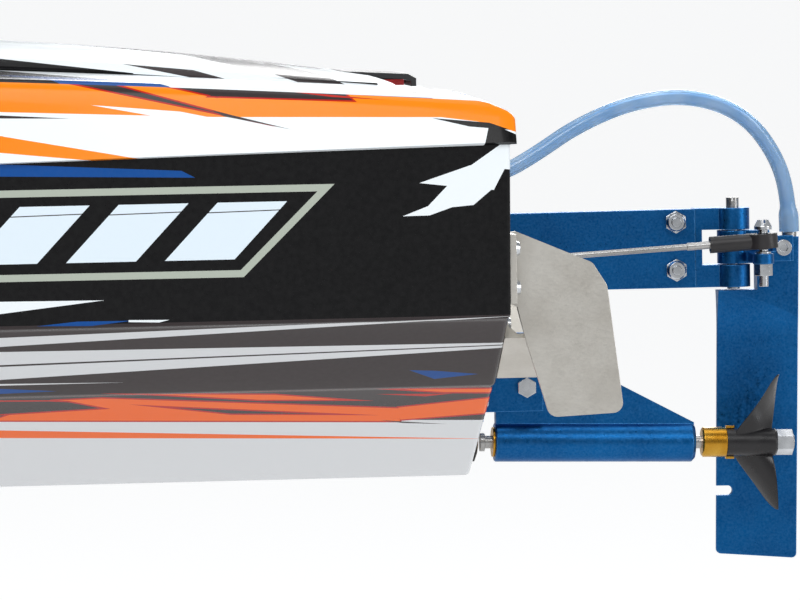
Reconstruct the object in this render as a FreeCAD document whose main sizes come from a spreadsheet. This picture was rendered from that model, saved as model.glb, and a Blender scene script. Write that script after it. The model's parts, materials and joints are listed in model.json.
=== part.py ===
import FreeCAD, Part
import math
import os
import re

import Sketcher

# A radio-controlled deep-vee racing boat, 914 mm long over the rudder, in millimetres.
#
# Frame: origin where the keel line meets the transom, +X forward to the bow, +Y to port,
# +Z up. The propeller and its shaft are built along their own axis and tilted as a whole.

Vector = FreeCAD.Vector
Rotation = FreeCAD.Rotation

document = FreeCAD.newDocument("racing_boat")
sheet = document.addObject("Spreadsheet::Sheet", "dims")
sub_parts = []

# ---------------------------------------------------------------- driving dimensions

SIZES = {
    # hull and deck shells; every long cutter reaches past the deck's half width
    "cutter_half": 130, "hatch_deep": 16,
    "hull_wall": 2.2, "transom_wall": 2.6, "bow_wall": 6, "deck_wall": 2,
    "lip_depth": 6, "bevel_height": 115.3, "bevel_run": 9, "bevel_rise": 5.6,
    "seal_thick": 0.9, "seal_gap": 1, "seal_width": 3, "opening_margin": 5,
    # shaft line: height at the transom and downward tilt towards the propeller
    "shaft_height": 10.85, "shaft_tilt": 1.4, "shaft_radius": 2, "shaft_fit": 0.05,
    "strut_front": -7.9, "strut_back": -70.3, "strut_radius": 6.1, "strut_bore": 3.5,
    "strut_edge": 1, "bushing_length": 10, "bushing_lip": 0.7, "bushing_lip_radius": 4.6,
    "web_thick": 4, "ear_thick": 2.4, "strut_pin_radius": 1.5,
    "strut_pin_x": -17.6, "strut_pin_z": 27.7, "strut_pin_back": -6.6,
    "strut_pin_long": 13.4, "strut_nut_flats": 5.5, "strut_nut_long": 2.6,
    "ear_back": -22.8, "ear_low": 20.2, "ear_long": 20.2, "ear_high": 24,
    "base_thick": 3, "base_half": 15, "base_low": 18, "base_high": 46,
    "dog_front": -72.6, "dog_back": -80.2, "dog_radius": 4.65, "dog_ear": 2.6,
    "hub_front": -80.3, "hub_back": -96, "hub_radius": 4.35, "propeller_radius": 21,
    "propeller_pitch": 59,
    "prop_nut_flats": 7, "prop_nut_long": 5, "shaft_end": -101.6,
    "ferrule_front": -3.4, "ferrule_back": -4.8, "ferrule_radius": 2.9,
    "tube_radius": 2.75, "tube_bore": 2.1, "cable_radius": 1.85, "tube_hole": 3.1,
    "seal_ring_radius": 6, "seal_ring_long": 2.4,
    # rudder, its bracket and hinge
    "rudder_x": -88.4, "rudder_y": -34, "rudder_thick": 7, "rudder_edge": 1.3,
    "barrel_radius": 5, "barrel_low": 62.75, "barrel_high": 73.1,
    "knuckle_radius": 5.3, "knuckle_low": 55.4, "knuckle_high": 80.2,
    "window_low": 62.4, "window_high": 73.45,
    "pin_radius": 2, "pin_top": 83.4, "pin_low": 54.7,
    "arm_plate_thick": 5, "tongue_thick": 3.5, "step_back": -85.1, "step_long": 9,
    "bridge_back": -78.3, "bridge_long": 2.2,
    "flange_thick": 3.5, "flange_left": 10, "flange_right": 16,
    "bolt_x": -69.8, "bolt_high": 76.2, "bolt_low": 61.1, "bolt_radius": 1.5,
    "bolt_fit": 0.05, "nut_flats": 6.2, "nut_long": 3.6, "bolt_end": 0.7,
    "bolt_head_radius": 2.9, "bolt_head_long": 2.4,
    "cutter_radius": 40, "cutter_height": 40,
    "inlet_z": -8.7, "inlet_radius": 1.5, "inlet_long": 4.2,
    # steering linkage
    "ball_x": -95, "ball_y": -14, "ball_z": 70.4, "ball_radius": 3, "ball_fit": 0.06,
    "link_length": 157, "link_slope": 3.15, "rod_radius": 0.95, "thread_radius": 1.2,
    "eye_radius": 4.6, "eye_half": 2.3, "shank_radius": 2.6, "shank_end": 16.8,
    "thread_end": 24, "arm_low": 63.3, "arm_high": 66.4, "arm_half": 3.3,
    "root_back": -105.6, "root_long": 8.2, "root_deep": 3.2,
    "stud_radius": 1.5, "stud_low": 56.2, "stud_head_low": 74, "stud_head_high": 77,
    "stud_head_radius": 2.75, "stud_nut_flats": 5, "stud_nut_long": 3.7,
    "clamp_x": -103.4, "clamp_z": 67.6, "clamp_head_radius": 2.5,
    "boot_hole_y": -16.4, "boot_hole_z": 65.2, "boot_hole_radius": 5.2,
    "boot_radius": 7.4, "boot_tip_wide": 6.4, "boot_tip_high": 3.8, "boot_tip_z": 65.8,
    "boot_long": 10, "boot_wall": 1,
    # steering servo
    "servo_long": 40, "servo_wide": 20, "servo_low": 25, "servo_high": 53,
    "servo_overhang": 10, "servo_ear": 7, "servo_ear_thick": 2.5,
    "servo_ear_drop": 10, "post_long": 6,
    "horn_low": 54.6, "horn_high": 57.4, "horn_boss_radius": 4,
    "horn_eye_radius": 3.2, "spline_radius": 2.5, "horn_screw_radius": 2.6,
    # fins and tabs
    "fin_y": 104, "fin_thick": 2, "fin_flange": 12, "fin_low": 59.5, "fin_high": 80,
    "tab_thick": 1.5, "tab_wide": 26, "tab_flange": 13, "tab_slope": 30.5,
    "tab_y": 76.6, "tab_z": 35.2, "corner_radius": 3,
    # transom screws
    "screw_radius": 1.4, "screw_head_radius": 2.7, "screw_head_long": 1.5, "screw_long": 9,
    "drill_radius": 1.45,
    # cooling hose
    "hose_radius": 2.45, "hose_bore": 2, "barb_radius": 1.4, "barb_ridge": 1.75,
    "nipple_radius": 1.25, "nipple_long": 3,
    "barb_x": -106.3, "barb_low": 70.8, "barb_high": 77.6,
    "hose_start_x": -3, "hose_start_y": -16, "hose_start_z": 91.3,
    # motor group
    "motor_z": 36, "motor_front": 300, "motor_back": 240, "motor_radius": 18,
    "motor_inner": 15.6, "rotor_radius": 14.6, "motor_shaft_radius": 2.5,
    "jacket_radius": 21, "jacket_back": 252, "jacket_front": 288, "coupler_back": 208,
    "coupler_front": 228, "coupler_radius": 6, "mount_thick": 5, "mount_half": 34,
    "mount_high": 58,
    # batteries and electronics
    "battery_x": 176, "battery_long": 155, "battery_wide": 44, "battery_high": 25,
    "battery_y": 40, "battery_z": 45.6, "strap_wide": 20, "strap_thick": 1.2,
    "esc_x": 108, "esc_y": 26, "esc_z": 42, "esc_long": 62, "esc_wide": 40, "esc_high": 20,
    "receiver_x": 108, "receiver_y": -70, "receiver_z": 42, "receiver_long": 58,
    "receiver_wide": 40, "receiver_high": 22, "box_wall": 1.6, "lid_thick": 2,
    "tray_low": 15, "foam_back": 590, "foam_front": 700, "foam_high": 84,
    # hatch
    "hatch_wall": 1.8, "housing_half": 15, "housing_wall": 1.5,
    "slider_back": 19.4, "slider_front": 27.5, "slider_half": 11, "slider_low": 121.9,
    "slider_high": 123.7, "recess_front": 33, "recess_half": 12, "recess_high": 124.1,
    # drain and water outlet
    "drain_y": 60, "drain_z": 42, "drain_radius": 4, "outlet_x": 60, "outlet_z": 86,
    "outlet_radius": 2.4,
}

# Long lines of the shells on the port side. A line of five points is straight from the
# transom to its second point, and a line of seven is curved there. The last four points
# are always the control points of the curve that runs in to the stem.
HULL_LINES = {
    "keel": [(0, 0, 0), (330, 0, 0), (560, 0, 0), (720, 0, 14), (792, 0, 76)],
    "strake_in": [(0, 70, 32.6), (330, 70, 32.6), (560, 70, 32.6), (706, 32, 44),
                  (795, 0, 80)],
    "strake_out": [(0, 74, 32.6), (330, 74, 32.6), (560, 74, 32.6), (710, 35, 45),
                   (796, 0, 82.5)],
    "chine_in": [(0, 112, 55), (330, 112, 55), (540, 112, 56), (712, 50, 69),
                 (799, 0, 88)],
    "chine_out": [(0, 117, 55), (330, 117, 55), (540, 117, 56), (716, 54, 70),
                  (800.5, 0, 90.5)],
    "sheer": [(0, 122, 107.5), (330, 122, 100.7), (490, 122, 97.4), (720, 74, 95),
              (806, 0, 97)],
}
DECK_LINES = {
    "lip": [(-1.9, 123.6, 107.5392), (330, 123.6, 100.7), (490, 123.6, 97.4),
            (720, 75.6, 95), (806, 0, 97)],
    "crease": [(-1.9, 118, 119.6), (108, 118, 127.8), (220, 118, 133), (330, 118, 134),
               (500, 118, 135.5), (700, 70, 118), (804, 0, 100)],
    "shoulder": [(-1.9, 86, 120.9), (108, 86, 129.8), (220, 86, 135), (330, 86, 136),
                 (500, 86, 137.5), (690, 50, 121), (801, 0, 101.5)],
    "crown": [(-1.9, 0, 117), (80, 0, 126.6), (220, 0, 136), (330, 0, 137),
              (500, 0, 139), (690, 0, 123), (799, 0, 102.5)],
}
# Hatch sections: station, half width, edge height, knee height, centre height. The knee
# lies at this share of the half width.
HATCH_KNEE = 0.62
HATCH_SECTIONS = [
    (28, 86, 124.0, 124.6, 124.8), (40, 86, 125.2, 126.3, 126.7),
    (64, 86, 127.2, 129.2, 129.9), (106, 86, 130.8, 133.8, 134.7),
    (150, 86, 133.6, 137.2, 138.4), (230, 86, 137.0, 144.0, 147.0),
    (310, 86, 138.2, 149.5, 155.0), (380, 86, 138.2, 149.5, 156.0),
    (450, 82, 137.0, 144.5, 149.0), (520, 72, 133.6, 138.0, 140.5),
    (562, 60, 130.4, 132.6, 133.4),
]
# Propeller blade sections: share of the radius, chord, middle of the chord, thickness.
BLADE_SECTIONS = [
    (0.124, 12.5, -94.6, 2.4), (0.219, 12.6, -94.9, 2.1), (0.39, 12.4, -95.5, 1.7),
    (0.59, 11.0, -96.0, 1.4), (0.79, 8.4, -96.4, 1.1), (0.933, 5.0, -96.7, 0.8),
    (1.0, 1.6, -96.9, 0.6),
]
# Flat outlines as (forward, up) points.
OUTLINES = {
    "fin": [(0, 80), (-3.1, 80.4), (-25.9, 70.7), (-30.2, 63.8), (-34.7, 26), (-12.6, 25),
            (-6.1, 46.6), (-3.2, 58), (0, 59.5)],
    "blade": [(-81.5, -28.5), (-83.1, 54.4), (-95.4, 54.4), (-95.4, 62.75), (-88.4, 62.75),
              (-88.4, 73.1), (-99.4, 73.1), (-100.2, 70.8), (-108.8, 70.8),
              (-106.6, -30.4)],
    "strut_web": [(-8.3, 14.5), (-8.3, 21), (-12, 32.4), (-30, 32.4), (-44, 29.4),
                  (-70.1, 15.4), (-70.1, 14.5)],
    "bracket_arm": [(-3.5, 55.4), (-3.5, 79.8), (-76.1, 80.1), (-76.1, 55.4)],
    "hinge_tongue": [(-57, 56.4), (-57, 79.2), (-76.1, 79.2), (-76.1, 56.4)],
    "hinge_web": [(-76.15, 55.4), (-76.15, 80.2), (-87, 80.2), (-87, 73.45),
                  (-78.3, 73.45), (-78.3, 62.4), (-87, 62.4), (-87, 55.4)],
    "housing": [(16, 121.6), (16, 124), (18.5, 125.4), (46, 127), (46, 125.2),
                (19.2, 123.8), (17.6, 123.2), (17.6, 121.6)],
}
# Cooling hose: the corners of its route from the transom fitting to the rudder's barb.
HOSE_ROUTE = [
    (-3, -16, 91.3), (-13, -16.2, 92.7), (-23.5, -17, 98.2), (-38, -18.5, 107.6),
    (-56, -21, 114.6), (-75, -24, 116), (-92, -27.5, 109.5), (-102.3, -31, 96),
    (-106.3, -34, 82.5), (-106.3, -34, 72.3),
]
# Flex cable and its stuffing tube, from the transom up to the motor coupler.
CABLE_ROUTE = [(-2.6, 0, 10.79), (70, 0, 12.56), (140, 0, 27), (196, 0, 36), (214, 0, 36)]
TUBE_ROUTE = [(-2.6, 0, 10.79), (70, 0, 12.56), (140, 0, 27), (180, 0, 33.4)]
# Screws in the transom, as (port, up) places.
SCREW_PLACES = [(-45, 60), (-45, 75), (-27.4, 60), (-27.4, 75), (-10.5, 24), (10.5, 24),
                (-10.5, 40), (10.5, 40)]
FIN_SCREWS = [(111, 64), (111, 75.5)]
TAB_SCREWS = [(6.5, 8), (19.5, 8)]

AXES = {"X": Rotation(Vector(0, 1, 0), 90), "Y": Rotation(Vector(1, 0, 0), -90),
        "Z": Rotation()}
PLANES = {"XZ": "XZ_Plane", "XY": "XY_Plane", "YZ": "YZ_Plane"}
aliases = []


def cell(alias, number):
    """Keep one number in the sheet under its alias."""
    aliases.append(alias)
    row = len(aliases)
    sheet.set(f"A{row}", alias)
    sheet.set(f"B{row}", str(number))
    sheet.setAlias(f"B{row}", alias)


def fill_sheet():
    """Write every driving dimension and outline point to the sheet."""
    for alias, number in SIZES.items():
        cell(alias, number)
    for name, points in OUTLINES.items():
        for i, (forward, up) in enumerate(points, 1):
            cell(f"{name}_x{i}", forward)
            cell(f"{name}_z{i}", up)
    document.recompute()


def size(alias):
    """Read a driving dimension back from the sheet."""
    return float(sheet.get(alias))


def bind(item, prop, text):
    """Bind a property to an expression whose words are aliases of the sheet."""
    words = re.sub(r"[a-z]\w*", lambda m: f"dims.{m[0]}" if m[0] in aliases else m[0],
                   str(text))
    item.setExpression(prop, words)


def bind_place(item, place):
    """Bind the base of an item's placement to three expressions."""
    for letter, text in zip("xyz", place):
        bind(item, f"Placement.Base.{letter}", text)


def box(name, sizes, corner):
    """Make a box from its three sizes and its lowest corner."""
    item = document.addObject("Part::Box", name)
    for prop, text in zip(("Length", "Width", "Height"), sizes):
        bind(item, prop, text)
    bind_place(item, corner)
    return item


def cylinder(name, radius, length, start, axis="Z"):
    """Make a cylinder that runs from its start point along one axis."""
    item = document.addObject("Part::Cylinder", name)
    item.Placement = FreeCAD.Placement(Vector(), AXES[axis])
    bind(item, "Radius", radius)
    bind(item, "Height", length)
    bind_place(item, start)
    return item


def cone(name, radius_start, radius_end, length, start, axis="Z"):
    """Make a cone that runs from its start point along one axis."""
    item = document.addObject("Part::Cone", name)
    item.Placement = FreeCAD.Placement(Vector(), AXES[axis])
    bind(item, "Radius1", radius_start)
    bind(item, "Radius2", radius_end)
    bind(item, "Height", length)
    bind_place(item, start)
    return item


def ball(name, radius, centre):
    """Make a sphere about its centre."""
    item = document.addObject("Part::Sphere", name)
    bind(item, "Radius", radius)
    bind_place(item, centre)
    return item


def hexagon(name, flats, length, start, axis="Z", turn=0):
    """Make a hexagonal prism that runs from its start point along one axis."""
    item = document.addObject("Part::Prism", name)
    item.Polygon = 6
    item.Placement = FreeCAD.Placement(
        Vector(), AXES[axis].multiply(Rotation(Vector(0, 0, 1), turn)))
    bind(item, "Circumradius", f"{flats} / sqrt(3)")
    bind(item, "Height", length)
    bind_place(item, start)
    return item


def fuse(name, *items, refine=True):
    """Join several shapes into one."""
    result = document.addObject("Part::MultiFuse", name)
    result.Shapes = list(items)
    result.Refine = refine
    return result


def cut(name, base, *tools):
    """Take one or more tools away from a base."""
    result = document.addObject("Part::Cut", name)
    result.Base = base
    result.Tool = tools[0] if len(tools) == 1 else fuse(f"{name}_tools", *tools)
    return result


def common(name, first, second):
    """Keep what two shapes share."""
    result = document.addObject("Part::Common", name)
    result.Base = first
    result.Tool = second
    return result


def group(name, items):
    """Keep identical loose pieces together as separate solids."""
    result = document.addObject("Part::Compound", name)
    result.Links = list(items)
    return result


def solid(name, shape):
    """Wrap a computed shape as a document object."""
    item = document.addObject("Part::Feature", name)
    item.Shape = shape
    item.Placement = FreeCAD.Placement()
    return item


def keep(item, label=None):
    """Mark an object as a sub-part: its label names its file."""
    item.Label = label or item.Name
    sub_parts.append(item)
    return item


def on_shaft_line(item):
    """Put an item that was built along X onto the tilted shaft line."""
    item.Placement = FreeCAD.Placement(Vector(), Rotation(Vector(0, -1, 0), 1))
    bind(item, "Placement.Base.z", "shaft_height")
    bind(item, "Placement.Rotation.Angle", "shaft_tilt")
    return item


def on_link_line(item):
    """Put an item that was built along X onto the pushrod's line at the rudder's ball."""
    item.Placement = FreeCAD.Placement(Vector(), Rotation(Vector(0, 1, 0), 1))
    bind_place(item, ("ball_x", "ball_y", "ball_z"))
    bind(item, "Placement.Rotation.Angle", "link_slope")
    return item


def sketch(body, plane, corners):
    """Draw a closed outline whose corners are bound to pairs of expressions."""
    outline = body.newObject("Sketcher::SketchObject", f"{body.Name}_sketch")
    support = [f for f in body.Origin.OriginFeatures if f.Role == PLANES[plane]][0]
    outline.AttachmentSupport = [(support, "")]
    outline.MapMode = "FlatFace"
    count = len(corners)
    spots = [Vector(math.cos(a), math.sin(a), 0) for a in
             (2 * math.pi * i / count for i in range(count))]
    for i in range(count):
        outline.addGeometry(Part.LineSegment(spots[i], spots[(i + 1) % count]), False)
    for i in range(count):
        outline.addConstraint(Sketcher.Constraint("Coincident", i, 2, (i + 1) % count, 1))
    for i, (across, up) in enumerate(corners):
        for kind, start, text in (("DistanceX", spots[i].x, across),
                                  ("DistanceY", spots[i].y, up)):
            index = outline.addConstraint(Sketcher.Constraint(kind, -1, 1, i, 1, start))
            bind(outline, f"Constraints[{index}]", text)
    return outline


def plate(name, plane, corners, thickness, place=None, rounds=(), radius=None):
    """Pad an outline to both sides of its plane and round some of its corners."""
    body = document.addObject("PartDesign::Body", name)
    outline = sketch(body, plane, corners)
    pad = body.newObject("PartDesign::Pad", f"{name}_pad")
    pad.Profile = outline
    pad.Midplane = True
    bind(pad, "Length", thickness)
    document.recompute()
    if rounds:
        fillet = body.newObject("PartDesign::Fillet", f"{name}_rounds")
        fillet.Base = (pad, corner_edges(pad.Shape, outline, rounds))
        bind(fillet, "Radius", radius)
        body.Tip = fillet
    if place:
        bind_place(body, place)
    return body


def corner_edges(shape, outline, rounds):
    """Name the edges that cross the plate at the numbered corners of its outline."""
    spots = [outline.Placement.multVec(outline.Geometry[i - 1].StartPoint) for i in rounds]
    names = []
    for i, edge in enumerate(shape.Edges, 1):
        if len(edge.Vertexes) < 2:
            continue
        middle = (edge.Vertexes[0].Point + edge.Vertexes[1].Point) * 0.5
        if any((middle - spot).Length < 0.01 for spot in spots):
            names.append(f"Edge{i}")
    return names


def outline_corners(name):
    """Return the sheet's aliases for the corners of a named outline."""
    return [(f"{name}_x{i}", f"{name}_z{i}") for i in range(1, len(OUTLINES[name]) + 1)]


def turned(name, corners):
    """Turn an outline of (along, radius) corners about the X axis."""
    body = document.addObject("PartDesign::Body", name)
    outline = sketch(body, "XZ", corners)
    turn = body.newObject("PartDesign::Revolution", f"{name}_turn")
    turn.Profile = outline
    turn.ReferenceAxis = (outline, ["H_Axis"])
    turn.Angle = 360
    return body


# ---------------------------------------------------------------- shells

def line_edges(points):
    """Turn a long line's points into its edges, from the transom to the stem."""
    spots = [Vector(*point) for point in points]
    aft = spots[:2] if len(spots) == 5 else spots[:4]
    if len(aft) == 2:
        first = Part.LineSegment(*aft).toShape()
    else:
        first = bezier(aft)
    return [first, bezier(spots[-4:])]


def bezier(poles):
    """Make one curved edge from its control points."""
    curve = Part.BezierCurve()
    curve.setPoles(poles)
    return curve.toShape()


def mirrored(points):
    """Mirror a list of points to starboard."""
    return [(x, -y, z) for x, y, z in points]


def shell_solid(lines):
    """Close a hull-like solid over its long lines, from the lowest line to the highest."""
    rings = [line_edges(points) for points in lines]
    others = [line_edges(mirrored(points)) for points in lines]
    faces = []
    for side in (rings, others):
        for low, high in zip(side, side[1:]):
            for first, second in zip(low, high):
                faces.append(ruled_face(first, second))
    for closing, closed in ((rings[-1], others[-1]), (rings[0], others[0])):
        if closing[0].distToShape(closed[0])[0] > 1:
            faces += [ruled_face(a, b) for a, b in zip(closing, closed)]
    start = [points[0] for points in lines]
    rim = [Vector(*point) for point in start]
    rim += [Vector(x, -y, z) for x, y, z in reversed(start) if y > 0]
    faces.append(Part.Face(Part.makePolygon(rim + rim[:1])))
    shell = Part.Shell(Part.makeCompound(faces).Faces)
    shell.sewShape()
    shape = Part.makeSolid(Part.Shell(shell.Faces) if shell.ShapeType != "Shell" else shell)
    if shape.Volume < 0:
        shape.reverse()
    return shape


def ruled_face(first, second):
    """Span two long edges; where both are straight and level the span is a true plane."""
    corners = [first.Vertexes[0].Point, first.Vertexes[1].Point,
               second.Vertexes[1].Point, second.Vertexes[0].Point]
    straight = all(isinstance(edge.Curve, Part.Line) for edge in (first, second))
    if straight:
        normal = (corners[1] - corners[0]).cross(corners[3] - corners[0])
        if abs(normal.normalize().dot(corners[2] - corners[0])) < 1e-6:
            return Part.Face(Part.makePolygon(corners + corners[:1]))
    return Part.makeRuledSurface(first, second)


def inset(points, side, up, back, front):
    """Move a long line inwards to make the inner face of a shell."""
    moved = [(x, max(y - side, 0), z + up) for x, y, z in points]
    moved[0] = (moved[0][0] + back, moved[0][1], moved[0][2])
    moved[-1] = (moved[-1][0] - front, moved[-1][1], moved[-1][2])
    return moved


def hull_solids():
    """Return the hull's outer solid and the space inside it."""
    wall = size("hull_wall")
    inner = [inset(points, wall, wall, size("transom_wall"), size("bow_wall"))
             for points in HULL_LINES.values()]
    return shell_solid(list(HULL_LINES.values())), shell_solid(inner)


def deck_solids():
    """Return the deck's outer solid and the space under it."""
    wall = size("deck_wall")
    inner = []
    for name, points in DECK_LINES.items():
        drop = size("lip_depth") if name == "lip" else wall
        inner.append(inset(points, wall, -drop, size("transom_wall") + wall,
                           size("bow_wall")))
    bevel = Part.makePolygon([
        Vector(-10, 0, size("bevel_height")), Vector(-1.9, 0, size("bevel_height")),
        Vector(size("bevel_run"), 0, size("bevel_height") + size("bevel_rise")),
        Vector(size("bevel_run"), 0, 140), Vector(-10, 0, 140),
        Vector(-10, 0, size("bevel_height"))])
    half = size("cutter_half")
    bevel.translate(Vector(0, -half, 0))
    corner = Part.Face(bevel).extrude(Vector(0, 2 * half, 0))
    return shell_solid(list(DECK_LINES.values())).cut(corner), shell_solid(inner)


def hatch_section(station, half, edge, quarter, centre, depth):
    """Draw one cross-section of the hatch as a closed wire."""
    spots = [Vector(station, y, z) for y, z in
             ((-half, edge), (-half * HATCH_KNEE, quarter), (0, centre),
              (half * HATCH_KNEE, quarter), (half, edge))]
    crown = Part.BSplineCurve()
    crown.interpolate(spots)
    low = edge - depth
    sides = [Vector(station, half, edge), Vector(station, half, low),
             Vector(station, -half, low), Vector(station, -half, edge)]
    lines = [Part.LineSegment(a, b).toShape() for a, b in zip(sides, sides[1:])]
    return Part.Wire([crown.toShape()] + lines)


def hatch_solid(wall=0.0):
    """Loft the hatch through its sections, drawn in by the wall."""
    sections = []
    last = len(HATCH_SECTIONS) - 1
    for i, (station, half, edge, quarter, centre) in enumerate(HATCH_SECTIONS):
        shift = wall if i == 0 else (-wall if i == last else 0)
        sections.append(hatch_section(station + shift, half - wall, edge - wall,
                                      quarter - wall, centre - wall,
                                      size("hatch_deep") - wall))
    return Part.makeLoft(sections, True, False)


def opening_prism():
    """Fill the deck opening under the hatch with a tall prism."""
    margin = size("opening_margin")
    side = [(station, half - margin) for station, half, *_ in HATCH_SECTIONS]
    side[0] = (side[0][0] + 2 * margin, side[0][1])
    side[-1] = (side[-1][0] - margin, side[-1][1])
    ring = [Vector(x, y, 90) for x, y in side] + [Vector(x, -y, 90) for x, y in side[::-1]]
    return Part.Face(Part.makePolygon(ring + ring[:1])).extrude(Vector(0, 0, 80))


def seal_ring(opening, deck_outer):
    """Lay a thin gasket on the deck round the opening."""
    width = size("seal_width")
    base = opening.BoundBox
    centre = Vector(base.Center.x, 0, base.Center.z)
    wide = opening.copy()
    grow = FreeCAD.Matrix()
    grow.move(centre * -1)
    grow.scale(1 + 2 * width / base.XLength, 1 + 2 * width / base.YLength, 1)
    grow.move(centre)
    wide = wide.transformGeometry(grow)
    raised = deck_outer.copy()
    raised.translate(Vector(0, 0, size("seal_thick")))
    skin = raised.common(wide.cut(opening))
    return skin.cut(deck_outer)


def bent_path(points):
    """Join a route's corners by straight runs and tangent arcs, and list the radii."""
    spots = [Vector(*point) for point in points]
    edges = []
    radii = []
    last = spots[0]
    for before, here, after in zip(spots, spots[1:], spots[2:]):
        back = before - here
        ahead = after - here
        short = min(back.Length, ahead.Length)
        reach = 0.45 * short
        back.normalize()
        ahead.normalize()
        turn = math.pi - back.getAngle(ahead)
        radii.append(round(reach / math.tan(turn / 2), 1))
        start = here + back * reach
        end = here + ahead * reach
        bisector = (back + ahead).normalize()
        span = reach / math.cos(back.getAngle(bisector))
        radius = reach * math.tan(back.getAngle(bisector))
        middle = here + bisector * (span - radius)
        edges.append(Part.LineSegment(last, start).toShape())
        edges.append(Part.Arc(start, middle, end).toShape())
        last = end
    edges.append(Part.LineSegment(last, spots[-1]).toShape())
    return Part.Wire(edges), radii


def tube(name, points, radius, bore=0.0):
    """Sweep a round tube along a bent path and report its radii, length and volume."""
    path, radii = bent_path(points)
    start = Vector(*points[0])
    along = Vector(*points[1]) - start
    outer = path.makePipe(ring_wire(radius, start, along))
    shape = Part.makeSolid(outer) if outer.ShapeType != "Solid" else outer
    area = math.pi * (radius ** 2 - bore ** 2)
    if bore:
        shape = shape.cut(path.makePipe(ring_wire(bore, start, along)))
    ratio = shape.Volume / (area * path.Length)
    print(f"{name}: length {path.Length:.1f}, radii {radii}, volume ratio {ratio:.4f}")
    return shape


def ring_wire(radius, start, along):
    """Make the round profile of a tube as a face."""
    circle = Part.Edge(Part.Circle(start, along, radius))
    return Part.Face(Part.Wire(circle))


def build_shells():
    """Build the hull, deck, hatch and gasket, and return the space inside the hull."""
    outer, inner = hull_solids()
    hull = outer.cut(inner)
    deck_outer, deck_inner = deck_solids()
    opening = opening_prism()
    deck = deck_outer.cut(deck_inner).cut(opening)
    gap = deck_outer.copy()
    gap.translate(Vector(0, 0, size("seal_gap")))
    hatch = hatch_solid().cut(hatch_solid(size("hatch_wall"))).cut(gap)
    recess = Part.makeBox(30, 2 * size("recess_half"), 30,
                          Vector(size("recess_front") - 30, -size("recess_half"),
                                 size("recess_high") - 30))
    hatch = hatch.cut(recess)
    solid("hull_wall_shape", hull)
    drills = [cylinder("boot_hole", "boot_hole_radius", 10, (-4, "boot_hole_y", "boot_hole_z"),
                       "X"),
              cylinder("tube_hole_tool", "tube_hole", 16, (-6, 0, "shaft_height - 0.1"), "X"),
              cylinder("hose_hole", "barb_ridge + 1", 10,
                       (-4, "hose_start_y", "hose_start_z"), "X"),
              cylinder("drain_hole", "drain_radius", 10, (-4, "drain_y", "drain_z"), "X"),
              cylinder("outlet_hole", "outlet_radius", 12, ("outlet_x", -126, "outlet_z"), "Y"),
              fuse("screw_drills", *screws("drill", "drill_radius"))]
    keep(cut("hull_shell", document.getObject("hull_wall_shape"), *drills))
    keep(solid("deck_shell", deck))
    keep(solid("hatch_seal", seal_ring(opening, deck_outer)))
    hatch_item = solid("hatch_outer_shape", hatch_solid())
    keep(solid("hatch_cover", hatch))
    return solid("hull_space", inner), hatch_item


def screws(name, radius, head=False):
    """Place a shank, with a pan head if wanted, at every screw of the transom."""
    items = []
    places = [(y, z, "flange_thick") for y, z in SCREW_PLACES]
    places += [(side * y, z, "fin_thick") for y, z in FIN_SCREWS for side in (1, -1)]
    slope = math.radians(size("tab_slope"))
    for across, up in TAB_SCREWS:
        y = size("tab_y") + across * math.cos(slope) - up * math.sin(slope)
        z = size("tab_z") + across * math.sin(slope) + up * math.cos(slope)
        places += [(side * y, z, "tab_thick") for side in (1, -1)]
    for i, (y, z, stack) in enumerate(places, 1):
        shank = cylinder(f"{name}_{i}", radius, "screw_long", (f"-{stack}", y, z), "X")
        if not head:
            items.append(shank)
            continue
        cap = cone(f"{name}_head_{i}", "screw_head_radius * 0.7", "screw_head_radius",
                   "screw_head_long", (f"-{stack} - screw_head_long", y, z), "X")
        socket = hexagon(f"{name}_socket_{i}", 2, 1, (f"-{stack} - screw_head_long", y, z), "X")
        items.append(cut(f"{name}_screw_{i}", fuse(f"{name}_blank_{i}", cap, shank), socket))
    return items


# ---------------------------------------------------------------- drive line

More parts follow.
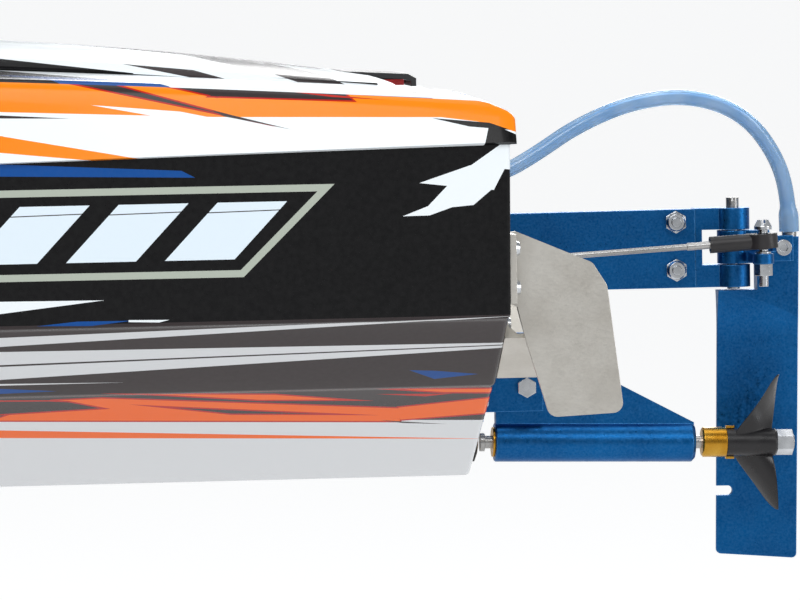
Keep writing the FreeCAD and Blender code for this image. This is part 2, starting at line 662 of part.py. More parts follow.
def build_strut():
    """Build the propeller strut, its bracket on the transom, bushings and seal."""
    barrel = turned("strut_barrel", [
        ("strut_front", "strut_bore"), ("strut_front", "strut_radius - strut_edge / 3"),
        ("strut_front - strut_edge / 3", "strut_radius"),
        ("strut_back + strut_edge", "strut_radius"),
        ("strut_back", "strut_radius - strut_edge"), ("strut_back", "strut_bore")])
    on_shaft_line(barrel)
    web = plate("strut_web", "XZ", outline_corners("strut_web"), "web_thick")
    pin_hole = cylinder("strut_pin_hole", "strut_pin_radius + 0.05", 30,
                        ("strut_pin_x", -15, "strut_pin_z"), "Y")
    bore = on_shaft_line(turned("strut_bore_tool", [
        ("strut_front + 1", 0), ("strut_front + 1", "strut_bore"),
        ("strut_back - 1", "strut_bore"), ("strut_back - 1", 0)]))
    keep(cut("strut", fuse("strut_blank", barrel, web), pin_hole, bore))
    base = box("strut_base", ("base_thick", "2 * base_half", "base_high - base_low"),
               ("-base_thick", "-base_half", "base_low"))
    ears = []
    for side, low in (("port", "web_thick / 2 + 0.1"),
                      ("starboard", "-web_thick / 2 - 0.1 - ear_thick")):
        ears.append(box(f"strut_ear_{side}", ("ear_long", "ear_thick", "ear_high"),
                        ("ear_back", low, "ear_low")))
    ear_hole = cylinder("strut_ear_hole", "strut_pin_radius + 0.05", 30,
                        ("strut_pin_x", -15, "strut_pin_z"), "Y")
    keep(cut("strut_bracket", fuse("strut_bracket_blank", base, *ears), ear_hole,
             fuse("strut_base_drills", *screws("base_drill", "drill_radius"))))
    shank = cylinder("strut_pin", "strut_pin_radius", "strut_pin_long",
                     ("strut_pin_x", "strut_pin_back", "strut_pin_z"), "Y")
    head = cylinder("strut_pin_head", "bolt_head_radius", 2,
                    ("strut_pin_x", "strut_pin_back - 0.1", "strut_pin_z"), "Y")
    lock = hexagon("strut_pin_nut", "strut_nut_flats", "strut_nut_long",
                   ("strut_pin_x", "web_thick / 2 + 0.1 + ear_thick + 0.1", "strut_pin_z"),
                   "Y", 30)
    keep(fuse("strut_pivot_screw", shank, head, lock))
    front = turned("bushing_front", [
        ("strut_front + bushing_lip", "shaft_radius + shaft_fit"),
        ("strut_front + bushing_lip", "bushing_lip_radius"),
        ("strut_front", "bushing_lip_radius"), ("strut_front", "strut_bore"),
        ("strut_front - bushing_length", "strut_bore"),
        ("strut_front - bushing_length", "shaft_radius + shaft_fit")])
    back = turned("bushing_back", [
        ("strut_back", "shaft_radius + shaft_fit"), ("strut_back", "strut_bore"),
        ("strut_back + bushing_length", "strut_bore"),
        ("strut_back + bushing_length", "shaft_radius + shaft_fit")])
    keep(on_shaft_line(group("strut_bushings", [front, back])))
    keep(on_shaft_line(turned("stuffing_tube_seal", [
        (-0.3, "tube_radius + 0.05"), (-0.3, "seal_ring_radius"),
        ("-seal_ring_long + 0.8", "seal_ring_radius"), ("-seal_ring_long", "tube_radius + 1"),
        ("-seal_ring_long", "tube_radius + 0.05")])))


def build_propeller():
    """Build the shaft with its ferrule, the drive dog, the propeller and its nut."""
    keep(on_shaft_line(turned("prop_shaft", [
        ("ferrule_front", 0), ("ferrule_front", "ferrule_radius"),
        ("ferrule_back", "ferrule_radius"), ("ferrule_back", "shaft_radius"),
        ("shaft_end", "shaft_radius"), ("shaft_end", 0)])))
    dog = turned("drive_dog_ring", [
        ("dog_front", "shaft_radius + 0.01"), ("dog_front", "dog_radius - 0.5"),
        ("dog_front - 0.5", "dog_radius"), ("dog_back", "dog_radius"),
        ("dog_back", "shaft_radius + 0.01")])
    ears = [box(f"drive_dog_ear_{i}", ("dog_ear", 2.2, 0.75), ("dog_back - dog_ear", -1.1, low))
            for i, low in enumerate(("hub_radius + 0.05", "-hub_radius - 0.8"), 1)]
    keep(on_shaft_line(fuse("drive_dog", dog, *ears)))
    hub = turned("prop_hub", [
        ("hub_front", "shaft_radius + 0.01"), ("hub_front", "hub_radius"),
        ("hub_back + 0.6", "hub_radius"), ("hub_back", "hub_radius - 0.5"),
        ("hub_back", "shaft_radius + 0.01")])
    blades = [solid(f"prop_blade_{i}", blade_shape(180 * i)) for i in (0, 1)]
    keep(on_shaft_line(fuse("propeller", hub, *blades, refine=False)))
    nut_blank = hexagon("prop_nut_hex", "prop_nut_flats", "prop_nut_long",
                        ("hub_back - 0.05 - prop_nut_long", 0, 0), "X")
    nut_bore = cylinder("prop_nut_bore", "shaft_radius + 0.01", 12,
                        ("hub_back - 8", 0, 0), "X")
    keep(on_shaft_line(cut("prop_nut", nut_blank, nut_bore)))


def blade_shape(turn):
    """Loft one propeller blade through sections that twist with its pitch."""
    pitch = size("propeller_pitch")
    spin = Rotation(Vector(1, 0, 0), turn)
    wires = []
    for share, chord, back, thick in BLADE_SECTIONS:
        radius = share * size("propeller_radius")
        angle = math.atan2(pitch, 2 * math.pi * radius)
        ahead = spin.multVec(Vector(math.sin(angle), math.cos(angle), 0))
        face = spin.multVec(Vector(-math.cos(angle), math.sin(angle), 0))
        centre = spin.multVec(Vector(back + math.sin(angle) * chord / 2, 0.12 * chord, radius))
        trail = centre - ahead * (chord / 2)
        lead = centre + ahead * (chord / 2)
        outside = Part.Arc(trail, centre + face * (thick / 2), lead).toShape()
        inside = Part.Arc(lead, centre - face * (thick / 2), trail).toShape()
        wires.append(Part.Wire([outside, inside]))
    return Part.makeLoft(wires, True, False)


def build_motor(space):
    """Build the flex cable with its tube, the coupler, and the motor on its mount."""
    keep(solid("stuffing_tube", tube("stuffing tube", TUBE_ROUTE, size("tube_radius"),
                                     size("tube_bore"))))
    keep(solid("flex_cable", tube("flex cable", CABLE_ROUTE, size("cable_radius"))))
    blank = cylinder("coupler_blank", "coupler_radius", "coupler_front - coupler_back",
                     ("coupler_back", 0, "motor_z"), "X")
    shaft_bore = cylinder("coupler_shaft_bore", "motor_shaft_radius + 0.01", 20,
                          ("coupler_back + 9", 0, "motor_z"), "X")
    cable_bore = cylinder("coupler_cable_bore", "cable_radius + shaft_fit", 20,
                          ("coupler_back - 1", 0, "motor_z"), "X")
    flat = hexagon("coupler_grip", 8, 6, ("coupler_back - 3", 0, "motor_z"), "X")
    keep(cut("motor_coupler", fuse("coupler_body", blank, flat), shaft_bore, cable_bore,
             cylinder("coupler_clear", "cable_radius + shaft_fit", 8,
                      ("coupler_back - 5", 0, "motor_z"), "X")))
    shaft = cylinder("motor_shaft", "motor_shaft_radius", 76, ("coupler_front - 8", 0, "motor_z"),
                     "X")
    rotor = cylinder("motor_magnet", "rotor_radius", 40, ("motor_back + 10", 0, "motor_z"), "X")
    keep(fuse("motor_rotor", shaft, rotor))
    can = cylinder("can_blank", "motor_radius", "motor_front - motor_back",
                   ("motor_back", 0, "motor_z"), "X")
    hollow = cylinder("can_hollow", "motor_inner", "motor_front - motor_back - 8",
                      ("motor_back + 4", 0, "motor_z"), "X")
    bore = cylinder("can_bore", "motor_shaft_radius + shaft_fit", 90,
                    ("motor_back - 5", 0, "motor_z"), "X")
    keep(cut("motor_can", can, hollow, bore))
    jacket = cylinder("jacket_blank", "jacket_radius", "jacket_front - jacket_back",
                      ("jacket_back", 0, "motor_z"), "X")
    groove = cut("jacket_groove",
                 cylinder("groove_out", "jacket_radius + 1", 14, ("jacket_back + 11", 0, "motor_z"),
                          "X"),
                 cylinder("groove_in", "jacket_radius - 1", 16, ("jacket_back + 10", 0, "motor_z"),
                          "X"))
    nipples = [cylinder(f"jacket_nipple_{i}", 2, 9,
                        (f"jacket_{end}", 0, "motor_z + jacket_radius - 1"))
               for i, end in enumerate(("back + 5", "front - 5"), 1)]
    keep(cut("motor_water_jacket", fuse("jacket_body", jacket, *nipples),
             cylinder("jacket_bore", "motor_radius + 0.02", 60,
                      ("jacket_back - 10", 0, "motor_z"), "X"), groove))
    wall = box("mount_blank", ("mount_thick", "2 * mount_half", "mount_high"),
               ("motor_back - mount_thick", "-mount_half", 0))
    inside = common("mount_in_hull", wall, space)
    boss = cylinder("mount_bore", "motor_shaft_radius + 4.5", 30,
                    ("motor_back - 20", 0, "motor_z"), "X")
    keep(cut("motor_mount", inside, boss))


# ---------------------------------------------------------------- rudder and steering

def build_rudder():
    """Build the rudder's bracket, hinge, blade and steering arm."""
    middle = ("0", "rudder_y", "0")
    arm = plate("bracket_arm", "XZ", outline_corners("bracket_arm"), "arm_plate_thick", middle)
    flange = box("bracket_flange",
                 ("flange_thick", "flange_left + flange_right", "knuckle_high - knuckle_low"),
                 ("-flange_thick", "rudder_y - flange_right", "knuckle_low"))
    bolts = [cylinder(f"bracket_bolt_hole_{i}", "bolt_radius + bolt_fit", 40,
                      ("bolt_x", "rudder_y - 20", height), "Y")
             for i, height in enumerate(("bolt_high", "bolt_low"), 1)]
    keep(cut("rudder_bracket", fuse("bracket_blank", arm, flange), *bolts,
             fuse("bracket_drills", *screws("flange_drill", "drill_radius"))))
    web = plate("hinge_web", "XZ", outline_corners("hinge_web"), "arm_plate_thick", middle)
    tongue_y = "rudder_y - arm_plate_thick / 2 - tongue_thick / 2 - 0.02"
    tongue = plate("hinge_tongue", "XZ", outline_corners("hinge_tongue"), "tongue_thick",
                   ("0", tongue_y, "0"))
    step = box("hinge_step", ("step_long", "tongue_thick + 0.02", "window_low - knuckle_low"),
               ("step_back", "rudder_y - arm_plate_thick / 2 - tongue_thick - 0.02",
                "knuckle_low"))
    step_high = box("hinge_step_high",
                    ("step_long", "tongue_thick + 0.02", "knuckle_high - window_high"),
                    ("step_back", "rudder_y - arm_plate_thick / 2 - tongue_thick - 0.02",
                     "window_high"))
    bridge = box("hinge_bridge",
                 ("bridge_long", "tongue_thick + 0.02", "knuckle_high - knuckle_low"),
                 ("bridge_back", "rudder_y - arm_plate_thick / 2 - tongue_thick - 0.02",
                  "knuckle_low"))
    knuckles = [cylinder("knuckle_low_ring", "knuckle_radius", "window_low - knuckle_low",
                         ("rudder_x", "rudder_y", "knuckle_low")),
                cylinder("knuckle_high_ring", "knuckle_radius", "knuckle_high - window_high",
                         ("rudder_x", "rudder_y", "window_high"))]
    pin_bore = cylinder("hinge_pin_bore", "pin_radius + 0.01", 40,
                        ("rudder_x", "rudder_y", "knuckle_low - 5"))
    tongue_holes = [cylinder(f"tongue_bolt_hole_{i}", "bolt_radius + bolt_fit", 40,
                             ("bolt_x", "rudder_y - 20", height), "Y")
                    for i, height in enumerate(("bolt_high", "bolt_low"), 1)]
    keep(cut("rudder_hinge_block",
             fuse("hinge_blank", web, tongue, step, step_high, bridge, *knuckles), pin_bore,
             *tongue_holes))
    build_bracket_fasteners()
    build_blade(middle)
    build_arm()


def build_bracket_fasteners():
    """Build the two bracket bolts with their lock nuts, and the hinge pin."""
    face = "rudder_y + arm_plate_thick / 2 + 0.02"
    back = "rudder_y - arm_plate_thick / 2 - tongue_thick - 0.04"
    bolts = []
    nuts = []
    for i, height in enumerate(("bolt_high", "bolt_low"), 1):
        shank = cylinder(f"bolt_shank_{i}", "bolt_radius",
                         "arm_plate_thick + tongue_thick + 0.06 + nut_long + bolt_end",
                         ("bolt_x", back, height), "Y")
        head = cylinder(f"bolt_head_{i}", "bolt_head_radius", "bolt_head_long",
                        ("bolt_x", f"{back} - bolt_head_long", height), "Y")
        socket = hexagon(f"bolt_socket_{i}", 2.5, 1.4,
                         ("bolt_x", f"{back} - bolt_head_long", height), "Y")
        bolts.append(cut(f"bolt_{i}", fuse(f"bolt_blank_{i}", shank, head), socket))
        blank = hexagon(f"nut_hex_{i}", "nut_flats", "nut_long * 0.68", ("bolt_x", face, height),
                        "Y", 30)
        collar = cone(f"nut_collar_{i}", "nut_flats * 0.49", "nut_flats * 0.4",
                      "nut_long * 0.32", ("bolt_x", f"{face} + nut_long * 0.68", height), "Y")
        bore = cylinder(f"nut_bore_{i}", "bolt_radius + 0.01", 12,
                        ("bolt_x", "rudder_y", height), "Y")
        nuts.append(cut(f"nut_{i}", fuse(f"nut_blank_{i}", blank, collar), bore))
    keep(group("bracket_bolts", bolts))
    keep(group("bracket_nuts", nuts))
    pin = cylinder("pin_blank", "pin_radius", "pin_top - pin_low",
                   ("rudder_x", "rudder_y", "pin_low"))
    slot = box("pin_slot", (0.8, 6, 1.2), ("rudder_x - 0.4", "rudder_y - 3", "pin_top - 1"))
    keep(cut("rudder_hinge_pin", pin, slot))


def build_blade(middle):
    """Build the rudder blade: a milled wedge with a barrel, an inlet notch and bores."""
    flat = plate("blade_plate", "XZ", outline_corners("blade"), "rudder_thick", middle,
                 (1, 10), "corner_radius / 2")
    barrel = cylinder("blade_barrel", "barrel_radius", "barrel_high - barrel_low",
                      ("rudder_x", "rudder_y", "barrel_low"))
    cutters = []
    lead = size("rudder_edge") / 2
    half = size("rudder_thick") / 2
    angle = math.degrees(math.atan2(half - 0.4 - lead, 25.3))
    for side, sign in (("port", 1), ("starboard", -1)):
        low = box(f"wedge_box_{side}", (60, 20, 80), (-50, 0 if sign > 0 else -20, -40))
        wheel = cylinder(f"wedge_wheel_{side}", "cutter_radius", 60,
                         (-50, f"{sign} * cutter_radius", "cutter_height"), "X")
        cutter = fuse(f"wedge_cutter_{side}", low, wheel)
        cutter.Placement = FreeCAD.Placement(
            Vector(-82.2, size("rudder_y") + sign * lead, 0),
            Rotation(Vector(0, 0, 1), -sign * angle))
        cutters.append(cutter)
    pin_bore = cylinder("blade_pin_bore", "pin_radius + shaft_fit", 12,
                        ("rudder_x", "rudder_y", "barrel_low - 1"))
    clear = cylinder("blade_knuckle_clear", "knuckle_radius + 1", 7.4,
                     ("rudder_x", "rudder_y", "knuckle_low - 0.4"))
    notch = cylinder("blade_inlet", "inlet_radius", 10, ("-81.2 - inlet_long", "rudder_y - 5",
                                                         "inlet_z"), "Y")
    mouth = box("blade_inlet_mouth", ("inlet_long + 2", 10, "2 * inlet_radius"),
                ("-81.2 - inlet_long", "rudder_y - 5", "inlet_z - inlet_radius"))
    clamp_hole = cylinder("blade_clamp_hole", "bolt_radius + 0.01", 9,
                          ("clamp_x", "rudder_y - 4.5", "clamp_z"), "Y")
    barb_hole = cylinder("blade_barb_hole", "barb_radius - 0.5 + 0.01", 5,
                         ("barb_x", "rudder_y", "barb_low - 4"))
    keep(cut("rudder_blade", fuse("blade_blank", flat, barrel), *cutters, pin_bore, clear,
             notch, mouth, clamp_hole, barb_hole))
    stem = cylinder("barb_stem", "barb_radius - 0.5", 5, ("barb_x", "rudder_y", "barb_low - 4"))
    neck = cylinder("barb_neck", "barb_radius", "barb_high - barb_low",
                    ("barb_x", "rudder_y", "barb_low"))
    ring = cylinder("barb_base", 2.3, 1.3, ("barb_x", "rudder_y", "barb_low"))
    ridges = [cone(f"barb_ridge_{i}", "barb_ridge", "barb_radius - 0.2", 1.6,
                   ("barb_x", "rudder_y", f"barb_low + {2.4 + 2.4 * i}")) for i in range(2)]
    keep(fuse("hose_barb", stem, neck, ring, *ridges))


def build_arm():
    """Build the steering arm, its clamp screw, the ball stud and its nut."""
    face = "rudder_y + rudder_thick / 2 + 0.02"
    tip = cylinder("arm_tip", "arm_half", "arm_high - arm_low", ("ball_x", "ball_y", "arm_low"))
    bar = box("arm_bar", ("2 * arm_half - 0.8", "ball_y - rudder_y - rudder_thick / 2 - 0.02",
                          "arm_high - arm_low"), ("ball_x - arm_half", face, "arm_low"))
    root = box("arm_root", ("root_long", "root_deep", "arm_high - arm_low"),
               ("root_back", face, "arm_low"))
    lug = box("arm_lug", (6.6, 2.2, 8), ("clamp_x - 3.3", face, "arm_low"))
    stud_hole = cylinder("arm_stud_hole", "stud_radius + 0.01", 9,
                         ("ball_x", "ball_y", "arm_low - 3"))
    clamp_hole = cylinder("arm_clamp_hole", "bolt_radius + 0.01", 9,
                          ("clamp_x", "rudder_y + 2", "clamp_z"), "Y")
    head_seat = cylinder("arm_head_seat", "clamp_head_radius + 0.05", 3,
                         ("clamp_x", "rudder_y + rudder_thick / 2 + 2.22", "clamp_z"), "Y")
    keep(cut("steering_arm", fuse("arm_blank", tip, bar, root, lug), stud_hole, clamp_hole,
             head_seat))
    shank = cylinder("clamp_shank", "bolt_radius", 8.6, ("clamp_x", "rudder_y - 2.8", "clamp_z"),
                     "Y")
    head = cylinder("clamp_head", "clamp_head_radius", 2.2,
                    ("clamp_x", "rudder_y + rudder_thick / 2 + 2.24", "clamp_z"), "Y")
    socket = hexagon("clamp_socket", 2.5, 1.5,
                     ("clamp_x", "rudder_y + rudder_thick / 2 + 3.2", "clamp_z"), "Y")
    clamp = cut("arm_clamp_screw", fuse("clamp_blank", shank, head), socket)
    stud = cylinder("stud_shank", "stud_radius", "stud_head_low - stud_low + 0.5",
                    ("ball_x", "ball_y", "stud_low"))
    collar = cylinder("stud_collar", 2.4, 0.7, ("ball_x", "ball_y", "arm_high + 0.02"))
    cap = cone("stud_cap", "stud_head_radius", "stud_head_radius * 0.62",
               "stud_head_high - stud_head_low - 1", ("ball_x", "ball_y", "stud_head_low + 1"))
    rim = cylinder("stud_rim", "stud_head_radius", 1, ("ball_x", "ball_y", "stud_head_low"))
    slot = box("stud_slot", (0.9, 8, 1.2), ("ball_x - 0.45", "ball_y - 4",
                                            "stud_head_high - 1"))
    keep(cut("ball_stud", fuse("stud_blank", stud, collar, cap, rim,
                               ball("stud_ball", "ball_radius",
                                    ("ball_x", "ball_y", "ball_z"))), slot))
    blank = hexagon("stud_nut_hex", "stud_nut_flats", "stud_nut_long",
                    ("ball_x", "ball_y", "arm_low - 0.02 - stud_nut_long"))
    bore = cylinder("stud_nut_bore", "stud_radius + 0.01", 9,
                    ("ball_x", "ball_y", "arm_low - 6"))
    keep(group("steering_arm_fasteners", [clamp, cut("ball_stud_nut", blank, bore)]))


def eye_end(name, at, way):
    """Build a plastic rod end: an eye round a ball, and a shank along the rod."""
    eye = cylinder(f"{name}_eye", "eye_radius", "2 * eye_half", (at, 0, "-eye_half"))
    start = at if way > 0 else f"{at} - shank_end"
    shank = cylinder(f"{name}_shank", "shank_radius", "shank_end", (start, 0, 0), "X")
    socket = ball(f"{name}_socket", "ball_radius + ball_fit", (at, 0, 0))
    start = f"{at} + 6" if way > 0 else f"{at} - shank_end - 1"
    bore = cylinder(f"{name}_bore", "thread_radius + 0.01", "shank_end - 5", (start, 0, 0), "X")
    relief = cylinder(f"{name}_relief", "stud_radius + 0.35", 12, (at, 0, -6))
    keep(on_link_line(cut(name, fuse(f"{name}_blank", eye, shank), socket, bore, relief)))


def boot_funnel(wall):
    """Loft the boot from its round foot to an oval mouth, both smaller by the wall."""
    y, z = size("boot_hole_y"), size("boot_hole_z")
    end, mouth_z = -size("boot_long"), size("boot_tip_z")
    foot = Part.Circle(Vector(-0.02, y, z), Vector(1, 0, 0), size("boot_radius") - wall)
    wide, high = size("boot_tip_wide") - wall, size("boot_tip_high") - wall
    mouth = Part.Ellipse(Vector(end, y + wide, mouth_z), Vector(end, y, mouth_z + high),
                         Vector(end, y, mouth_z))
    return Part.makeLoft([Part.Wire(edge.toShape()) for edge in (foot, mouth)], True, True)


def build_linkage(space):
    """Build the pushrod with its two ends, the boot, and the servo with its horn."""
    keep(on_link_line(turned("pushrod", [
        (6, 0), (6, "thread_radius"), ("thread_end", "thread_radius"),
        ("thread_end", "rod_radius"), ("link_length - thread_end", "rod_radius"),
        ("link_length - thread_end", "thread_radius"), ("link_length - 6", "thread_radius"),
        ("link_length - 6", 0)])))
    eye_end("rod_end", "0", 1)
    eye_end("servo_rod_end", "link_length", -1)
    keep(solid("pushrod_boot", boot_funnel(0).cut(boot_funnel(size("boot_wall")))))
    slope = math.radians(size("link_slope"))
    end_x = size("ball_x") + size("link_length") * math.cos(slope)
    end_z = size("ball_z") - size("link_length") * math.sin(slope)
    pivot = Vector(end_x + size("rudder_x") - size("ball_x"), size("rudder_y"), 0)
    build_servo(space, pivot, Vector(end_x, size("ball_y"), end_z))


def build_servo(space, pivot, joint):
    """Build the steering servo under the pushrod's front end, its mount, horn and screw."""
    low_x = pivot.x + size("servo_overhang") - size("servo_long")
    case = box("servo_case", ("servo_long", "servo_wide", "servo_high - servo_low"),
               (low_x, "rudder_y - servo_wide / 2", "servo_low"))
    ears = box("servo_ears", ("servo_long + 2 * servo_ear", "servo_wide - 2", "servo_ear_thick"),
               (low_x - size("servo_ear"), "rudder_y - servo_wide / 2 + 1",
                "servo_high - servo_ear_drop"))
    spline = cylinder("servo_spline", "spline_radius", 3.4, (pivot.x, pivot.y, "servo_high"))
    keep(fuse("steering_servo", case, ears, spline))
    posts = [common(f"servo_post_{i}",
                    box(f"servo_post_blank_{i}", ("post_long", "servo_wide + 6",
                                                  "servo_high - servo_ear_drop - 0.05"),
                        (x, "rudder_y - servo_wide / 2 - 3", 0)), space)
             for i, x in enumerate((low_x - size("servo_ear") - 0.5,
                                low_x + size("servo_long") + 1.5), 1)]
    keep(group("servo_mount", posts))
    boss = cylinder("horn_boss", "horn_boss_radius", "horn_high - horn_low + 1",
                    (pivot.x, pivot.y, "horn_low - 1"))
    eye = cylinder("horn_eye", "horn_eye_radius", "horn_high - horn_low",
                   (joint.x, joint.y, "horn_low"))
    reach = joint.sub(pivot)
    reach.z = 0
    bar = document.addObject("Part::Box", "horn_bar")
    bar.Length = reach.Length
    bind(bar, "Width", "horn_eye_radius * 2")
    bind(bar, "Height", "horn_high - horn_low")
    side = Vector(reach.y, -reach.x, 0).normalize() * size("horn_eye_radius")
    bar.Placement = FreeCAD.Placement(
        Vector(pivot.x, pivot.y, size("horn_low")) + side,
        Rotation(Vector(0, 0, 1), math.degrees(math.atan2(reach.y, reach.x))))
    bore = cylinder("horn_bore", "spline_radius + shaft_fit", "3.4 + 0.6",
                    (pivot.x, pivot.y, "servo_high - 0.5"))
    stud_hole = cylinder("horn_stud_hole", "stud_radius + 0.01", 9,
                         (joint.x, joint.y, "horn_low - 3"))
    keep(cut("servo_horn", fuse("horn_blank", boss, eye, bar), bore, stud_hole))
    screw = cylinder("servo_horn_screw", "horn_screw_radius", 1.6,
                     (pivot.x, pivot.y, "horn_high + 0.02"))
    post = cylinder("horn_stud_post", "stud_radius", joint.z - size("horn_low") + 1,
                    (joint.x, joint.y, "horn_low - 1"))
    flange = cylinder("horn_stud_flange", 2.4, 0.7, (joint.x, joint.y, "horn_high + 0.02"))
    stud = fuse("horn_ball_stud", post, flange,
                ball("horn_ball", "ball_radius", (joint.x, joint.y, joint.z)))
    keep(group("servo_horn_fasteners", [stud, screw]))


# ---------------------------------------------------------------- fins, tabs, hose

def build_transom_hardware():
    """Build the turn fins, the trim tabs, the transom screws and the hose."""
    for side, sign in (("port", 1), ("starboard", -1)):
        blade = plate(f"{side}_fin_blade", "XZ", outline_corners("fin"), "fin_thick",
                      ("0", f"{sign} * fin_y", "0"), (3, 4, 5, 6), "corner_radius")
        low = "fin_y" if sign > 0 else "-fin_y - fin_flange"
        flange = box(f"{side}_fin_flange", ("fin_thick", "fin_flange", "fin_high - fin_low"),
                     ("-fin_thick", low, "fin_low"))
        keep(cut(f"{side}_turn_fin", fuse(f"{side}_fin_blank", blade, flange),
                 fuse(f"{side}_fin_drills", *screws(f"{side}_fin_drill", "drill_radius"))))
        tab = plate(f"{side}_tab_profile", "XZ",
                    [("-0.02", "0"), ("-0.02", "tab_flange"), ("-tab_thick", "tab_flange"),
                     ("-tab_thick", "2 * tab_thick + 1"), ("-2 * tab_thick - 1", "tab_thick"),
                     ("-31", "tab_thick"), ("-31", "0")],
                    "tab_wide")
        slope = size("tab_slope")
        half = size("tab_wide") / 2
        tilt = math.radians(slope)
        tab.Placement = FreeCAD.Placement(
            Vector(0, sign * (size("tab_y") + half * math.cos(tilt)),
                   size("tab_z") + half * math.sin(tilt)),
            Rotation(Vector(1, 0, 0), sign * slope))
        keep(cut(f"{side}_trim_tab", tab,
                 fuse(f"{side}_tab_drills", *screws(f"{side}_tab_drill", "drill_radius"))))
    keep(group("transom_screws", screws("transom", "screw_radius", True)))
    keep(solid("cooling_hose", tube("cooling hose", HOSE_ROUTE, size("hose_radius"),
                                    size("hose_bore"))))
    collar = cylinder("fitting_collar", 3.6, "-hose_start_x - 0.02",
                      ("hose_start_x", "hose_start_y", "hose_start_z"), "X")
    thread = cylinder("fitting_thread", "barb_ridge + 0.9", 7,
                      (-0.2, "hose_start_y", "hose_start_z"), "X")
    nut = hexagon("fitting_nut", 8, 2.5, ("transom_wall + 0.05", "hose_start_y",
                                          "hose_start_z"), "X")
    nipple = cylinder("fitting_nipple", "nipple_radius", "nipple_long + 1",
                      ("hose_start_x - nipple_long", "hose_start_y", "hose_start_z"), "X")
    keep(fuse("transom_hose_fitting", collar, thread, nut, nipple))
    pipe = cylinder("outlet_pipe", "outlet_radius - 0.05", 12, ("outlet_x", -123, "outlet_z"),
                    "Y")
    rim = cone("outlet_rim", 3.2, 4, 1.9, ("outlet_x", -123, "outlet_z"), "Y")
    bore = cylinder("outlet_bore", 1.5, 20, ("outlet_x", -127, "outlet_z"), "Y")
    keep(cut("water_outlet", fuse("outlet_blank", pipe, rim), bore))
    plug = cylinder("drain_stem", "drain_radius - 0.05", 6, (-1, "drain_y", "drain_z"), "X")
    cap = cylinder("drain_cap", "drain_radius + 1.6", 2, (-2.05, "drain_y", "drain_z"), "X")
    keep(fuse("drain_plug", plug, cap))


# ---------------------------------------------------------------- inside the hull

def in_hull(name, sizes, corner, space):
    """Trim a block to the space inside the hull."""
    return common(name, box(f"{name}_blank", sizes, corner), space)


def build_inside(space):
    """Build the batteries on their trays, the speed control, the radio box and the foam."""
    trays = []
    for side, low in (("port", "battery_y"), ("starboard", "-battery_y - battery_wide")):
        keep(box(f"{side}_battery", ("battery_long", "battery_wide", "battery_high"),
                 ("battery_x", low, "battery_z")))
        trays.append(in_hull(f"{side}_battery_tray",
                             ("battery_long + 6", "battery_wide + 2",
                              "battery_z - 0.05 - tray_low"),
                             ("battery_x - 3", f"{low} - 1", "tray_low"), space))
    keep(group("battery_trays", trays))
    straps = []
    for side, low in (("port", "battery_y"), ("starboard", "-battery_y - battery_wide")):
        for i, x in enumerate(("battery_x + 20", "battery_x + battery_long - 40"), 1):
            band = box(f"{side}_band_{i}",
                       ("strap_wide", "battery_wide + 2 * strap_thick",
                        "battery_high + strap_thick"),
                       (x, f"{low} - strap_thick", "battery_z"))
            core = box(f"{side}_core_{i}", ("strap_wide + 2", "battery_wide + 0.04",
                                            "battery_high + 0.02"),
                       (f"{x} - 1", f"{low} - 0.02", "battery_z"))
            straps.append(cut(f"{side}_strap_{i}", band, core))
    keep(group("battery_straps", straps))
    keep(box("speed_control", ("esc_long", "esc_wide", "esc_high"), ("esc_x", "esc_y", "esc_z")))
    fins = [box(f"heat_sink_fin_{i}", ("esc_long - 10", 1.4, 6),
                ("esc_x + 5", f"esc_y + 4 + {4.2 * i}", "esc_z + esc_high + 1.5"))
            for i in range(8)]
    plate_item = box("heat_sink_base", ("esc_long - 10", "esc_wide - 4", 1.5),
                     ("esc_x + 5", "esc_y + 2", "esc_z + esc_high + 0.02"))
    keep(fuse("heat_sink", plate_item, *fins))
    low_trays = [in_hull("speed_control_tray", ("esc_long", "esc_wide", "esc_z - 0.05"),
                         ("esc_x", "esc_y", 0), space),
                 in_hull("receiver_tray", ("receiver_long", "receiver_wide",
                                           "receiver_z - 0.05"),
                         ("receiver_x", "receiver_y", 0), space)]
    keep(group("equipment_trays", low_trays))
    shell = cut("receiver_shell",
                box("receiver_outer", ("receiver_long", "receiver_wide", "receiver_high"),
                    ("receiver_x", "receiver_y", "receiver_z")),
                box("receiver_inner",
                    ("receiver_long - 2 * box_wall", "receiver_wide - 2 * box_wall",
                     "receiver_high"),
                    ("receiver_x + box_wall", "receiver_y + box_wall",
                     "receiver_z + box_wall")))
    keep(shell, "receiver_box")
    keep(box("receiver_lid", ("receiver_long", "receiver_wide", "lid_thick"),
             ("receiver_x", "receiver_y", "receiver_z + receiver_high + 0.02")))
    keep(box("receiver_module", (34, 24, 12), ("receiver_x + 8", "receiver_y + 8",
                                               "receiver_z + box_wall + 0.05")))
    keep(in_hull("bow_foam", ("foam_front - foam_back", 300, "foam_high"),
                 ("foam_back", -150, 0), space))


def build_latch(hatch_item):
    """Build the dark latch housing on the hatch's tail and its red slider."""
    roof = plate("housing_roof", "XZ", outline_corners("housing"), "2 * housing_half")
    cheek_corners = [("housing_x2", "housing_z2 - 1"), ("housing_x3 + 1", "housing_z3 - 0.9"),
                     ("slider_front + 6", "housing_z3 - 0.6"), ("slider_front + 6", "slider_low"),
                     ("housing_x1", "housing_z1")]
    cheek = plate("housing_cheek", "XZ", cheek_corners, "housing_wall",
                  ("0", "-housing_half + housing_wall / 2", "0"))
    keep(cut("hatch_latch_housing", fuse("housing_blank", roof, cheek), hatch_item))
    keep(box("hatch_latch_slider",
             ("slider_front - slider_back", "2 * slider_half", "slider_high - slider_low"),
             ("slider_back", "-slider_half", "slider_low")))


